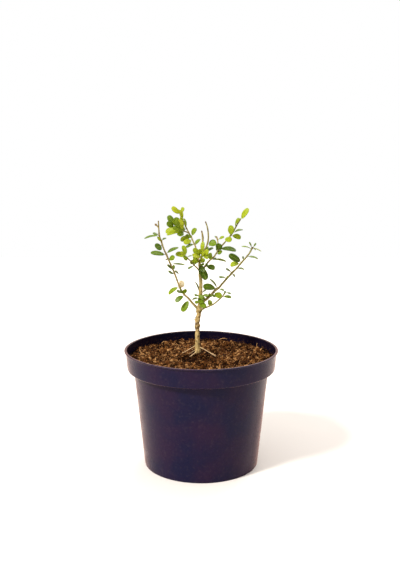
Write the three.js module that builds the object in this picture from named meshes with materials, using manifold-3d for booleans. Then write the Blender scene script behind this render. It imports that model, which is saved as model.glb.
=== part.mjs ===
// A young common boxwood in a round nursery pot.
// Millimetres, +Z up, -Y is the front. The origin is on the pot's axis, at the underside of its foot.

import * as THREE from "three";
import { mergeVertices } from "three/addons/utils/BufferGeometryUtils.js";
import Module from "manifold-3d";

const wasm = await Module();
wasm.setup();

// Clearance between two pieces that touch
const GAP = 0.3;

// Pot: a thin moulded container with a rolled lip, a deep collar and a tapered body on a foot ring
const POT_HEIGHT = 162;
const LIP_RADIUS = 105;
const LIP_HEIGHT = 2.2;
const COLLAR_TOP_RADIUS = 102;
const COLLAR_LOW_RADIUS = 99.6;
const COLLAR_HEIGHT = 27;
const COLLAR_CORNER = 3;
const BODY_TOP_RADIUS = 89.8;
const BODY_LOW_RADIUS = 78.5;
const POT_WALL = 1.6;
const FOOT_HEIGHT = 3;
const FOOT_WIDTH = 4;
const DRAIN_RADIUS = 6;
const DRAIN_CIRCLE = 56;
const DRAIN_COUNT = 4;
const DRAIN_SEGMENTS = 16;
const LIP_INNER_BEVEL = 0.6;
const POT_SEGMENTS = 56;

// Soil: level a little under the rim, with a mound at the trunk and a hollow in front of the roots
const SOIL_LEVEL = 149.6;
const MOUND = { height: 5.5, spread: 22 };
const HOLLOW = { x: 4, y: -14, width: 15.8, length: 11, depth: 3 };
const BROAD_BUMPS = { height: 1, x: 9, y: 8, shift: 1 };
const SMALL_BUMPS = { height: 0.7, x: 5.3, y: 6.7 };
const SOIL_EDGE_CLEARANCE = 0.2;
const SOIL_RINGS = 11;

// The plant is laid out as it looks from the front: x and z are read in the upright plane through the
// trunk, as seen from VIEWER, and depth slides a point along that line of sight, away from the viewer.
const TRUNK_X = -4.8;
const TRUNK_Y = 8;
const VIEWER = new THREE.Vector3(-1.6, -1053.8, 438.2);

// Facets round a stem. One thicker than STOUT across gets more.
const STOUT = 4;
const STOUT_SIDES = 12;
const SLENDER_SIDES = 7;

// Leaves: an oval blade on a short stalk
const STALK_LENGTH = 1.6;
const STALK_WIDTH = 0.8;
const BLADE_THICKNESS = 0.8;
const BLADE_ARCH = 0.09;
const BLADE_FOLD = 0.1;

// Wood. Each point is [x, z, depth, thickness].
const SHOOTS = {
  trunk: [
    [-4.6, 138, 0, 4.4],
    [-4.8, 149, 0, 7.8],
    [-4.6, 156, 0, 7.6],
    [-5.0, 163, 0, 6.9],
    [-5.2, 171, 0, 6.2],
    [-5.2, 180, 0, 6.0],
    [-5.0, 187, 0, 4.9],
    [-5.0, 192, 0, 6.3],
    [-5.2, 196, 0, 5.7],
    [-5.3, 200, 0, 6.2],
    [-4.3, 205, 0, 5.1],
    [-3.2, 210, 0, 5.1],
    [-2.8, 214, 0, 5.6],
    [-2.4, 219, 0, 4.5],
  ],
  leader: [
    [-2.9, 213, 0, 4.4],
    [-2.0, 221, -1, 3.9],
    [-1.4, 228, -2, 3.7],
    [-1.0, 236, -3, 3.6],
    [-0.8, 243, -3, 3.8],
    [-0.5, 250, -3, 3.3],
    [-0.6, 256, -2, 3.3],
    [-1.1, 262, -1, 3],
    [-1.6, 270, 0, 2.8],
    [-2.2, 278, 1, 2.5],
    [-2.4, 283, 2, 2.2],
  ],
  left_branch: [
    [-3.2, 211, 0, 3.2],
    [-6.0, 217, -1, 3],
    [-8.5, 220, -2, 2.7],
    [-13, 225, -4, 2.3],
    [-17, 230, -6, 2.1],
    [-22, 234.6, -8, 2],
    [-26, 239.5, -10, 1.9],
    [-28.8, 245, -12, 2.1],
    [-30.9, 250, -13, 1.8],
    [-32.6, 255, -14, 1.8],
    [-34.4, 260, -16, 1.9],
    [-36.2, 265, -17, 1.7],
    [-38.2, 270, -19, 1.7],
    [-40.5, 275, -20, 1.8],
    [-42.6, 280, -21, 1.7],
    [-45, 285.5, -23, 1.6],
    [-47, 290.5, -24, 1.8],
    [-49.3, 295.5, -25, 1.5],
    [-51, 300, -26, 1.5],
    [-52.6, 304.5, -27, 1.6],
    [-53.8, 309, -28, 1.6],
    [-55.3, 313, -28, 1.3],
    [-56.5, 318, -29, 1.4],
    [-57, 325, -30, 1.2],
    [-57.3, 331, -30, 1.3],
    [-57.5, 337, -30, 0.8],
  ],
  left_bud: [
    [-57, 327, -30, 1.1],
    [-59, 330, -31, 1.2],
    [-61, 332, -32, 0.7],
  ],
  side_twig: [
    [-1.7, 267, 0, 1.4],
    [-5.5, 272.2, -5, 1.3],
    [-9.5, 276, -9, 1.2],
    [-12, 279.5, -12, 1.2],
    [-15, 282.5, -15, 1.1],
    [-18, 285, -18, 1.1],
    [-21, 288.5, -20, 0.9],
  ],
  crown_left: [
    [-2.2, 279, 1, 1.9],
    [-4.0, 288, 4, 1.8],
    [-6.0, 296, 7, 1.7],
    [-8.3, 303, 10, 1.7],
    [-11.5, 310, 13, 1.6],
    [-13.5, 315, 15, 1.6],
    [-16, 319, 17, 1.5],
    [-18, 323, 19, 1.5],
    [-20.5, 328, 21, 1.4],
    [-23, 334, 23, 1.3],
    [-26, 340, 25, 1.2],
    [-27.5, 345.5, 27, 0.9],
  ],
  crown_spur: [
    [-16.6, 320, 18, 1.2],
    [-24, 323, 13, 1.2],
    [-30, 325.5, 9, 1.1],
    [-36, 329.5, 5, 0.9],
  ],
  tall_twig: [
    [-2.4, 280, 2, 1.6],
    [0.4, 287, 0, 1.5],
    [2.6, 292, -1, 1.4],
    [5.0, 297.5, -2, 1.4],
    [7.4, 302.5, -3, 1.4],
    [9.0, 308, -4, 1.4],
    [9.6, 315, -5, 1.3],
    [9.2, 322, -5, 1.3],
    [8.4, 327, -6, 1.2],
    [7.0, 332, -6, 1.1],
    [5.5, 336, -7, 0.7],
  ],
  bare_twig: [
    [-2.2, 280, 2, 1.3],
    [0.6, 288, 7, 1.2],
    [1.8, 298, 11, 1.1],
    [2.0, 306, 13, 1],
    [2.2, 313, 15, 1.5],
    [1.5, 319, 16, 1.1],
    [0.3, 323.5, 16, 0.7],
  ],
  crown_right: [
    [-1.2, 262, 0, 1.8],
    [3.5, 271.5, 2, 1.8],
    [8.5, 279.3, 0, 1.7],
    [12.5, 283.7, -3, 1.6],
    [16.6, 287.3, -6, 1.7],
    [20, 292, -9, 1.5],
    [23, 297, -12, 1.6],
    [26.5, 302, -14, 1.4],
    [30, 306, -16, 1.4],
    [33.5, 310, -18, 1.3],
    [36.5, 313.5, -20, 1.3],
    [39.5, 317.2, -21, 1.3],
    [43.2, 321.8, -23, 1.2],
    [45, 326, -24, 1.1],
    [46.8, 330.5, -25, 1.1],
    [50, 335, -27, 1],
    [52.3, 338.6, -28, 0.8],
  ],
  stub_twig: [
    [22.4, 296, -11, 1.2],
    [23, 302, -8, 1.2],
    [22.4, 308, -6, 1.1],
    [21.8, 312, -5, 1.3],
    [20.4, 316, -4, 0.7],
  ],
  long_right: [
    [-1.9, 222, -1, 2.3],
    [3.0, 226.3, 2, 2.2],
    [7.0, 229.7, 5, 2],
    [11, 233, 8, 1.9],
    [14.5, 236.5, 11, 1.8],
    [17.5, 240, 13, 1.9],
    [20, 243.2, 15, 2.1],
    [23, 245.2, 17, 1.8],
    [27, 249.6, 20, 1.6],
    [31, 254.4, 23, 1.6],
    [34.5, 259, 26, 1.6],
    [38, 263, 28, 1.5],
    [41.5, 266.5, 30, 1.7],
    [46, 270.3, 32, 1.3],
    [48.5, 272.8, 33, 1.5],
    [50.8, 276, 34, 1.3],
    [53.5, 279.2, 35, 1.4],
    [56, 281.8, 36, 1.2],
    [58.6, 284.2, 37, 1.2],
    [60.4, 286.8, 38, 1.2],
    [62.2, 289.4, 39, 1.2],
    [64.6, 292.2, 40, 1.1],
    [66.5, 295.5, 41, 1.4],
    [68.3, 298.8, 42, 1.1],
    [70.5, 301.2, 42, 0.8],
  ],
  low_right: [
    [-2.6, 212.5, -1, 1.6],
    [2.0, 216.3, -6, 1.4],
    [6.0, 218.2, -10, 1.2],
    [11, 220.6, -14, 1.1],
    [17, 223.7, -18, 1.1],
    [21, 226.7, -21, 1],
    [25, 230.3, -24, 1.1],
    [28.5, 233.3, -26, 1],
    [31, 235.8, -28, 1],
    [33.3, 239.3, -30, 0.8],
  ],
  knob_stub: [
    [-5.4, 199, 0, 2.4],
    [-7.6, 200.4, -1, 1.8],
    [-9.6, 201, -2, 1.2],
  ],
  root_back_left: [
    [-4.8, 166, 0, 2.6],
    [-8.8, 163, 2, 2.1],
    [-13, 160, 4, 1.8],
    [-18, 157, 7, 1.6],
    [-24, 152.8, 6, 1.5],
    [-29, 149.4, 5, 1.1],
  ],
  root_front_left: [
    [-4.8, 160, -1, 2.6],
    [-6.8, 156.3, -5, 2.1],
    [-9, 152.8, -9, 1.9],
    [-12, 149.6, -13, 1.7],
    [-16, 146.8, -17, 1.5],
    [-19, 144, -21, 1.2],
  ],
  root_left: [
    [-5.4, 160, 0, 2],
    [-8.6, 157, -3, 1.5],
    [-12, 153.4, -6, 1.2],
    [-15.4, 149.6, -9, 0.9],
  ],
  root_right: [
    [-4.4, 163, 0, 2.8],
    [-0.8, 161, -1, 2.2],
    [5, 158.2, -3, 1.9],
    [10, 155, -4, 1.7],
    [14, 152.2, -5, 1.6],
    [19, 148.4, -6, 1.2],
  ],
  root_right_fork: [
    [11, 154.4, -4, 1.3],
    [16, 152.2, -2, 1.2],
    [20, 149.8, -1, 1.1],
    [22, 147, -1, 0.8],
  ],
  root_back_right: [
    [-4.6, 160, 0, 2.6],
    [-1.4, 156.4, 6, 2.0],
    [3.0, 151.6, 14, 1.6],
    [6.0, 146.5, 20, 1.1],
  ],
};

// Leaves by shoot. Each is [x, z where it leaves the shoot, x, z of its tip, reach, width, roll, tone].
// Reach is how much farther from the viewer the tip lies than the stalk. Roll turns the upper face from
// facing the viewer at 0 to facing up at 90. Tone runs from 0, a dark old leaf, to 1, a young yellow one.
const LEAVES = {
  left_branch: [
    [-16, 228.8, -26, 212.6, -3, 7.6, 15, 0.4],
    [-23.2, 235.6, -34.2, 226.4, -5, 5.6, 25, 0.25],
    [-23.4, 236, -22.6, 243, -9, 6, 10, 0.5],
    [-29.4, 246.2, -44.2, 237.2, 4, 5.6, 40, 0.6],
    [-36.6, 266.2, -43, 266.6, -9, 6, 65, 0.3],
    [-44.8, 285, -36.8, 286.6, -10, 6, 25, 0.5],
    [-47, 290.4, -67.4, 292.2, -5, 7, 50, 0.35],
    [-47.4, 291.4, -31.6, 300.2, 7, 7, 60, 0.3],
    [-52.8, 305, -61.8, 299.4, -9, 9.6, 10, 0.2],
    [-56.5, 317.6, -77, 314.4, 4, 7.5, 82, 0.3],
  ],
  side_twig: [
    [-9.8, 276.2, -8.4, 285.6, -9, 6, 15, 0.7],
    [-10.2, 276.8, -16.4, 270.6, -11, 6, 84, 0.35],
    [-18, 285.2, -24.2, 284.4, -10, 7, 20, 0.6],
    [-21, 288.5, -24.6, 303, 2, 5.6, 10, 0.7],
    [-20.6, 288, -34.4, 292.2, 5, 6.6, 20, 0.85],
  ],
  crown_left: [
    [-9.2, 305, -20.4, 300.4, -8, 6, 84, 0.3],
    [-8.4, 303.2, -2, 311.6, 9, 5.6, 50, 0.45],
    [-12, 311, -22, 306.2, -9, 6.6, 20, 0.9],
    [-13.6, 315, -27, 310.4, 5, 5.8, 20, 0.65],
    [-15, 317.4, -7.4, 327.2, 6, 6.4, 20, 0.6],
    [-20.6, 328.6, -32, 323, -7, 7.4, 20, 0.6],
    [-24.2, 336.4, -28.8, 328.2, -11, 8.2, 15, 0.95],
    [-27.5, 345, -37, 356, -2, 6.2, 20, 1],
  ],
  crown_spur: [
    [-23, 322.6, -31.4, 316.6, -9, 7, 25, 0.4],
    [-30, 325.6, -48, 321.8, 4, 8.6, 30, 0.95],
    [-30.4, 325.8, -34.2, 341.2, 4, 8, 15, 0.5],
    [-36, 329.3, -46.4, 333.6, -8, 7, 20, 0.3],
    [-35.6, 329.2, -43.6, 343.6, 3, 7.6, 10, 0.15],
  ],
  leader: [
    [-1, 236, -8.8, 234.2, -11, 6.4, 50, 0.4],
    [-1, 235.6, 8.4, 233.6, -10, 6, 55, 0.3],
    [-1.3, 230, -12, 229.2, 5, 6, 80, 0.2],
    [-1.4, 228, -8.8, 223.4, -10, 6.6, 25, 0.6],
    [-1.4, 227.4, 4.6, 216.8, -13, 7.4, 15, 0.6],
    [-0.8, 241, -8.2, 254, 5, 5.6, 84, 0.4],
    [-1.7, 272, 7.4, 256.2, -7, 9, 5, 0.05],
    [-2, 277, 6.6, 266.4, -13, 8, 10, 0.15],
    [-2.4, 282, -11.2, 286.6, -10, 6, 25, 1],
  ],
  tall_twig: [
    [0.6, 287.6, -10.6, 299, -7, 6.8, 15, 0.8],
    [2.6, 292, 2.6, 308.4, 3, 5.2, 15, 0.85],
    [1.4, 289.6, 9.8, 296.6, -9, 6.4, 20, 0.9],
  ],
  crown_right: [
    [2.6, 270, 19, 271.8, 3, 7.6, 30, 0.25],
    [17, 287.6, 10, 290.8, -9, 6.8, 20, 0.55],
    [18.4, 289.8, 33.2, 281.2, -5, 6, 84, 0.3],
    [22.6, 296.6, 24.6, 305, -12, 8.4, 10, 0.1],
    [26, 301.2, 47, 298.6, 6, 8, 48, 0.2],
    [39, 316.6, 35.8, 307.8, -9, 8, 15, 0.8],
    [39.6, 317.4, 53.8, 314.4, 4, 7, 15, 0.7],
    [40.4, 318.4, 42.2, 329.4, -9, 6, 20, 0.75],
    [52.2, 338.4, 62.4, 353.4, -3, 7.2, 20, 0.85],
  ],
  stub_twig: [
    [22.8, 303.6, 10.8, 307.4, 5, 9.4, 25, 0.45],
  ],
  long_right: [
    [20, 243.2, 3, 245.8, -5, 7.6, 30, 0.2],
    [21.4, 244.2, 10.6, 257.6, 4, 6, 84, 0.3],
    [18, 240.6, 24.6, 231, -8, 8.6, 15, 0.6],
    [54.4, 280.2, 39.4, 290.2, -4, 8.6, 10, 0.05],
    [51.6, 277, 38.6, 279.6, 6, 5.8, 40, 0.8],
  ],
  low_right: [
    [28.6, 233.4, 41.6, 232, 4, 5.6, 45, 0.6],
  ],
};

// The dead leaf that still hangs on the left branch
const WITHERED_LEAF = [-29, 246, -28.2, 256.4, 9, 7, -20, 0];

const MATERIALS = {
  pot: new THREE.MeshStandardMaterial({ color: 0x2d2939, roughness: 0.35, metalness: 0 }),
  soil: new THREE.MeshStandardMaterial({ color: 0x56381f, roughness: 1, metalness: 0 }),
  bark: new THREE.MeshStandardMaterial({ color: 0xb59a6c, roughness: 0.85, metalness: 0 }),
  withered: new THREE.MeshStandardMaterial({ color: 0xd8c08e, roughness: 0.9, metalness: 0 }),
};
const OLD_LEAF = new THREE.Color(0x2c4a12);
const YOUNG_LEAF = new THREE.Color(0xb2c43c);

// Point that looks to be at x, z in the plane through the trunk, and lies depth behind that plane
function seen(x, z, depth) {
  const inPlane = new THREE.Vector3(x, TRUNK_Y, z);
  const sight = inPlane.clone().sub(VIEWER);
  return inPlane.addScaledVector(sight, depth / sight.y);
}

// Where a point looks to be in the plane through the trunk
function looksAt(point) {
  const sight = point.clone().sub(VIEWER);
  const flat = VIEWER.clone().addScaledVector(sight, (TRUNK_Y - VIEWER.y) / sight.y);
  return new THREE.Vector2(flat.x, flat.z);
}

// Closed skin over a row of rings. Each ring runs anticlockwise round the way along the row.
function loft(rings) {
  const sides = rings[0].length;
  const last = rings.length - 1;
  const at = (ring, side) => ring * sides + (side % sides);
  const index = [];
  for (let ring = 0; ring < last; ring++) {
    for (let side = 0; side < sides; side++) {
      index.push(at(ring, side), at(ring, side + 1), at(ring + 1, side + 1));
      index.push(at(ring, side), at(ring + 1, side + 1), at(ring + 1, side));
    }
  }
  for (let side = 1; side + 1 < sides; side++) {
    index.push(at(0, 0), at(0, side + 1), at(0, side));
    index.push(at(last, 0), at(last, side), at(last, side + 1));
  }
  const geometry = new THREE.BufferGeometry().setFromPoints(rings.flat());
  return geometry.setIndex(index);
}

// The solid that a closed geometry bounds, for joining and cutting
function solidOf(geometry) {
  const bare = geometry.clone();
  bare.deleteAttribute("normal");
  bare.deleteAttribute("uv");
  const merged = mergeVertices(bare, 1e-4);
  return new wasm.Manifold(new wasm.Mesh({
    numProp: 3,
    vertProperties: merged.attributes.position.array,
    triVerts: new Uint32Array(merged.index.array),
  }));
}

// Flat-shaded geometry of the largest body of a solid
function geometryOf(solid) {
  const bodies = solid.decompose().sort((a, b) => b.volume() - a.volume());
  const mesh = bodies[0].getMesh();
  const geometry = new THREE.BufferGeometry();
  geometry.setAttribute("position", new THREE.BufferAttribute(mesh.vertProperties, 3));
  geometry.setIndex(new THREE.BufferAttribute(mesh.triVerts, 1));
  return geometry.toNonIndexed();
}

function piece(name, geometry, material) {
  geometry.computeVertexNormals();
  const mesh = new THREE.Mesh(geometry, material);
  mesh.name = name;
  return mesh;
}

// Points of the corner arc of a profile, from one angle to another
function arc(radius, height, size, from, to, steps) {
  return Array.from({ length: steps + 1 }, (_, i) => {
    const angle = THREE.MathUtils.degToRad(from + ((to - from) * i) / steps);
    return new THREE.Vector2(radius + size * Math.cos(angle), height + size * Math.sin(angle));
  });
}

// Inside of the pot from the middle of its floor to the lip, drawn in by inset
function insideProfile(inset) {
  const wall = POT_WALL + inset;
  const floor = FOOT_HEIGHT + wall;
  const step = POT_HEIGHT - COLLAR_HEIGHT + wall;
  const taper = (BODY_TOP_RADIUS - BODY_LOW_RADIUS) / (POT_HEIGHT - COLLAR_HEIGHT);
  return [
    new THREE.Vector2(0, floor),
    new THREE.Vector2(BODY_LOW_RADIUS + taper * floor - wall, floor),
    new THREE.Vector2(BODY_LOW_RADIUS + taper * step - wall, step),
    new THREE.Vector2(COLLAR_LOW_RADIUS - wall, step),
    new THREE.Vector2(COLLAR_TOP_RADIUS - wall, POT_HEIGHT - LIP_HEIGHT),
  ];
}

function outsideProfile() {
  const collarFoot = POT_HEIGHT - COLLAR_HEIGHT;
  const lipSize = LIP_HEIGHT / 2;
  return [
    new THREE.Vector2(0, FOOT_HEIGHT),
    new THREE.Vector2(BODY_LOW_RADIUS - FOOT_WIDTH, FOOT_HEIGHT),
    new THREE.Vector2(BODY_LOW_RADIUS - FOOT_WIDTH, 0),
    ...arc(BODY_LOW_RADIUS - 1, 1, 1, -90, 0, 2),
    new THREE.Vector2(BODY_TOP_RADIUS, collarFoot),
    ...arc(COLLAR_LOW_RADIUS - COLLAR_CORNER, collarFoot + COLLAR_CORNER, COLLAR_CORNER, -90, 0, 4),
    new THREE.Vector2(COLLAR_TOP_RADIUS, POT_HEIGHT - LIP_HEIGHT),
    ...arc(LIP_RADIUS - lipSize, POT_HEIGHT - lipSize, lipSize, -80, 90, 4),
    new THREE.Vector2(COLLAR_TOP_RADIUS - POT_WALL + LIP_INNER_BEVEL, POT_HEIGHT),
  ];
}

function drainCentres() {
  return Array.from({ length: DRAIN_COUNT }, (_, i) => {
    const angle = (2 * Math.PI * (i + 0.5)) / DRAIN_COUNT;
    return new THREE.Vector2(DRAIN_CIRCLE * Math.cos(angle), DRAIN_CIRCLE * Math.sin(angle));
  });
}

function pot() {
  const profile = [...outsideProfile(), ...insideProfile(0).reverse()];
  const shell = new THREE.LatheGeometry(profile, POT_SEGMENTS).rotateX(Math.PI / 2);
  let solid = solidOf(shell);
  for (const centre of drainCentres()) {
    const drill = new THREE.CylinderGeometry(DRAIN_RADIUS, DRAIN_RADIUS, 4 * FOOT_HEIGHT, DRAIN_SEGMENTS);
    drill.rotateX(Math.PI / 2).translate(centre.x, centre.y, FOOT_HEIGHT);
    solid = solid.subtract(solidOf(drill));
  }
  return geometryOf(solid);
}

// Height of the soil's surface
function soilTop(x, y) {
  const fromTrunk = Math.hypot(x - TRUNK_X, y - TRUNK_Y) / MOUND.spread;
  const fromHollow = Math.hypot((x - HOLLOW.x) / HOLLOW.width, (y - HOLLOW.y) / HOLLOW.length);
  const mound = MOUND.height * Math.exp(-(fromTrunk ** 2));
  const hollow = HOLLOW.depth * Math.exp(-(fromHollow ** 2));
  const wave = Math.sin(x / BROAD_BUMPS.x + BROAD_BUMPS.shift) * Math.sin(y / BROAD_BUMPS.y);
  const broad = BROAD_BUMPS.height * wave;
  const small = SMALL_BUMPS.height * Math.sin(x / SMALL_BUMPS.x + y / SMALL_BUMPS.y);
  return SOIL_LEVEL + mound - hollow + broad + small;
}

function soilFill() {
  const inside = insideProfile(GAP);
  const [floor, heel, shelf, shelfEdge, brim] = inside;
  const rise = (SOIL_LEVEL - shelfEdge.y) / (brim.y - shelfEdge.y);
  const topRadius = THREE.MathUtils.lerp(shelfEdge.x, brim.x, rise) - SOIL_EDGE_CLEARANCE;
  const ringAt = (radius, height) => Array.from({ length: POT_SEGMENTS }, (_, i) => {
    const angle = (2 * Math.PI * i) / POT_SEGMENTS;
    const x = radius * Math.cos(angle);
    const y = radius * Math.sin(angle);
    return new THREE.Vector3(x, y, height ?? soilTop(x, y));
  });
  // The flats of the pot's inner wall lie inside its nominal radius
  const flat = Math.cos(Math.PI / POT_SEGMENTS);
  const rings = [heel, shelf, shelfEdge].map((corner) => ringAt(corner.x * flat, corner.y));
  for (let i = SOIL_RINGS; i > 0; i--) rings.push(ringAt((topRadius * flat * i) / SOIL_RINGS));
  rings.unshift(ringAt(heel.x / 2, floor.y));
  return solidOf(loft(rings));
}

// Way, thickness and leaf seats of each shoot
const shoots = Object.fromEntries(Object.entries(SHOOTS).map(([name, points]) => {
  const way = points.map(([x, z, depth]) => seen(x, z, depth));
  const curve = new THREE.CatmullRomCurve3(way, false, "catmullrom");
  const radiusAt = (t) => {
    const place = t * (points.length - 1);
    const before = Math.min(Math.floor(place), points.length - 2);
    return THREE.MathUtils.lerp(points[before][3], points[before + 1][3], place - before) / 2;
  };
  return [name, { curve, radiusAt, steps: points.length + 1 }];
}));

// A tapered round stem along a shoot, made thicker all round by swell
function stem(shoot, swell) {
  const { curve, radiusAt, steps } = shoot;
  const sides = 2 * radiusAt(0.5) > STOUT ? STOUT_SIDES : SLENDER_SIDES;
  const frames = curve.computeFrenetFrames(steps);
  const rings = frames.normals.map((normal, i) => {
    const share = i / steps;
    const end = Number(i === steps) - Number(i === 0);
    const centre = curve.getPointAt(share).addScaledVector(frames.tangents[i], end * swell);
    const radius = radiusAt(curve.getUtoTmapping(share)) + swell;
    return Array.from({ length: sides }, (_, side) => {
      const angle = (2 * Math.PI * side) / sides;
      return centre.clone()
        .addScaledVector(normal, radius * Math.cos(angle))
        .addScaledVector(frames.binormals[i], radius * Math.sin(angle));
    });
  });
  return solidOf(loft(rings));
}

function wood(swell) {
  return Object.values(shoots).map((shoot) => stem(shoot, swell)).reduce((all, next) => all.add(next));
}

// The point of a shoot that looks nearest to x, z
function seatOn(shoot, x, z) {
  const target = new THREE.Vector2(x, z);
  const samples = 400;
  let best = null;
  for (let i = 0; i <= samples; i++) {
    const point = shoot.curve.getPoint(i / samples);
    const distance = looksAt(point).distanceTo(target);
    if (!best || distance < best.distance) best = { point, distance, t: i / samples };
  }
  return { point: best.point, along: shoot.curve.getTangent(best.t), radius: shoot.radiusAt(best.t) };
}

// Half width of a blade as a share of its greatest half width
const OUTLINE = [
  [0, 0.14],
  [0.1, 0.4],
  [0.26, 0.74],
  [0.46, 0.96],
  [0.64, 1],
  [0.8, 0.9],
  [0.93, 0.62],
  [1, 0.2],
];

function leaf(shoot, [x, z, tipX, tipZ, reach, width, roll]) {
  const { point, along, radius } = seatOn(shoot, x, z);
  const tip = seen(tipX, tipZ, point.y - TRUNK_Y + reach);
  const out = tip.clone().sub(point);
  const away = out.clone().addScaledVector(along, -out.dot(along)).normalize();
  const seat = point.clone().addScaledVector(away, radius + GAP + STALK_WIDTH / 2);

  const axis = tip.clone().sub(seat);
  const length = axis.length();
  axis.normalize();
  const facing = VIEWER.clone().sub(seat);
  facing.addScaledVector(axis, -facing.dot(axis)).normalize();
  const upward = facing.clone().cross(axis);
  if (upward.z < 0) upward.negate();
  const turn = THREE.MathUtils.degToRad(roll);
  const normal = facing.multiplyScalar(Math.cos(turn)).addScaledVector(upward, Math.sin(turn));
  const side = normal.clone().cross(axis);

  // A section is a flat diamond whose edges lie a little above its middle
  const section = (distance, sectionWidth, thickness) => {
    const arch = BLADE_ARCH * length * Math.sin((Math.PI * distance) / length);
    const centre = seat.clone().addScaledVector(axis, distance).addScaledVector(normal, arch);
    const edge = centre.clone().addScaledVector(normal, (BLADE_FOLD * sectionWidth) / 2);
    return [
      edge.clone().addScaledVector(side, sectionWidth / 2),
      centre.clone().addScaledVector(normal, thickness / 2),
      edge.clone().addScaledVector(side, -sectionWidth / 2),
      centre.clone().addScaledVector(normal, -thickness / 2),
    ];
  };
  const blade = length - STALK_LENGTH;
  const rings = [section(0, STALK_WIDTH, STALK_WIDTH)];
  for (const [share, halfWidth] of OUTLINE) {
    const thickness = BLADE_THICKNESS * (share < 1 ? 1 : 0.5);
    rings.push(section(STALK_LENGTH + blade * share, width * halfWidth, thickness));
  }
  return loft(rings);
}

function leafMaterial(tone) {
  const color = new THREE.Color().lerpColors(OLD_LEAF, YOUNG_LEAF, tone);
  return new THREE.MeshStandardMaterial({ color, roughness: 0.45, metalness: 0 });
}

const group = new THREE.Group();
group.add(piece("nursery_pot", pot(), MATERIALS.pot));
group.add(piece("trunk_branches_and_roots", geometryOf(wood(0)), MATERIALS.bark));
group.add(piece("potting_soil", geometryOf(soilFill().subtract(wood(GAP))), MATERIALS.soil));
for (const [name, leaves] of Object.entries(LEAVES)) {
  leaves.forEach((numbers, i) => {
    const tone = numbers.at(-1);
    const label = String(i + 1).padStart(2, "0");
    group.add(piece(`${name}_leaf_${label}`, leaf(shoots[name], numbers), leafMaterial(tone)));
  });
}
group.add(piece("withered_leaf", leaf(shoots.left_branch, WITHERED_LEAF), MATERIALS.withered));

export default group;
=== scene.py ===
import math
import random

import bmesh
import bpy
import numpy as np
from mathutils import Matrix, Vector, noise
from mathutils.kdtree import KDTree


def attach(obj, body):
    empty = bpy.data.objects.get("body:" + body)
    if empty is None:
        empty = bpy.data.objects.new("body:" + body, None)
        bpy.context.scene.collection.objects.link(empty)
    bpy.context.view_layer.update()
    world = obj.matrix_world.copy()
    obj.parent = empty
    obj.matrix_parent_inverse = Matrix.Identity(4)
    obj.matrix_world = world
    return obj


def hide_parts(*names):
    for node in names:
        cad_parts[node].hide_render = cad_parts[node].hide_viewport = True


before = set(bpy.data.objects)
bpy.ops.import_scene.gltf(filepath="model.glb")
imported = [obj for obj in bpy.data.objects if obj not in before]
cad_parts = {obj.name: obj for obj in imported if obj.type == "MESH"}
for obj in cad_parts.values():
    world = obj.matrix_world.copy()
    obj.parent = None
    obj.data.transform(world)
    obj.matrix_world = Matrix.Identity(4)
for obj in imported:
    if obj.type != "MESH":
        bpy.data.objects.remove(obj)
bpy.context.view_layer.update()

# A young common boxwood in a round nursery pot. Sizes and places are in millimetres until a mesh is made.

MM = 0.001
BODY = "root"

# The viewer stands in front of the plant. Its x and z are read in the upright plane through the trunk.
VIEWER = np.array([-1.6, -1053.8, 438.2])
VIEW_DOWN = 10.11
LENS = 50
TRUNK_X = -4.8
TRUNK_Y = 8.0

POT_HEIGHT = 162.0
LIP_RADIUS = 105.0
LIP_HEIGHT = 1.9
COLLAR_TOP_RADIUS = 103.2
COLLAR_LOW_RADIUS = 101.0
COLLAR_HEIGHT = 27.0
COLLAR_CORNER = 2.2
BODY_TOP_RADIUS = 92.2
BODY_LOW_RADIUS = 78.5
POT_WALL = 1.6
POT_TAPER = (BODY_TOP_RADIUS - BODY_LOW_RADIUS) / (POT_HEIGHT - COLLAR_HEIGHT)
FOOT_HEIGHT = 3.0
FOOT_WIDTH = 4.0
NUB_RADIUS = 3.4
GROOVE_RADIUS = 31.0
DRAIN_RADIUS = 6.0
DRAIN_CIRCLE = 56.0
DRAIN_COUNT = 4
POT_SEGMENTS = 224
POT_BLOOM = 0.42

# A soft pot isn't quite round, and its rim isn't quite level
OUT_OF_ROUND = 0.0012
RIM_SWAY = 0.25
SWAY_DEPTH = 20

SOIL_LEVEL = 149.6
MOUND = {"height": 5.5, "spread": 22.0}
HOLLOW = {"x": 4.0, "y": -14.0, "width": 15.8, "length": 11.0, "depth": 3.0}
DAMP = {"x": 2.0, "y": -22.0, "width": 19.0, "length": 20.0, "depth": 0.32}
# Rounded lumps all over the soil: height, size and seed
SOIL_CLODS = [[3.4, 7.5, 0.5], [2.4, 3.8, 3.5], [0.9, 2.0, 6.5]]
# Taken off again, so that the lumps don't raise the soil as a whole
SOIL_DROP = 4.6
# The soil may rise beside a bare root by the distance squared over this
ROOT_CHANNEL = 9.0
# Painted shade: the soil is darker by the wall, from this radius on
WALL_SHADE = {"start": 88, "width": 9, "depth": 0.45}
SOIL_REACH = 99.0
FIBRE_REACH = 97.0
SOIL_GAP = 0.5
SOIL_GRID = 300

AXIS_STEP = 0.5
BARK = 0.28
# Ridges, lumps and fine grain of the bark: size across and along, depth as a share of the girth, and seed
BARK_WAVES = [[[1.5, 1.5, 7.0], 0.075, 0.0], [[2.2, 2.2, 2.6], 0.05, 7.3], [[0.5, 0.5, 1.4], 0.02, 3.1]]
ROOT_SHRINK = 0.68
LEAF_SWELLING = 0.16
BUD_LENGTH = 2.4
# How far from a join its crease is smoothed
CREASE_REACH = 0.9
# The bark's grain starts this much farther on for each shoot, so that no two look alike
SHOOT_APART = 60.0
# Splashed soil thins out up to this height
DIRT_TOP = 154.0

STALK_LENGTH = 1.6
STALK_WIDTH = 0.8
BLADE_THICKNESS = 0.5
BLADE_SPREAD = 1.15
BLADE_ARCH = 0.09
BLADE_FOLD = 0.1
LEAST_FACING = 0.4
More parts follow.
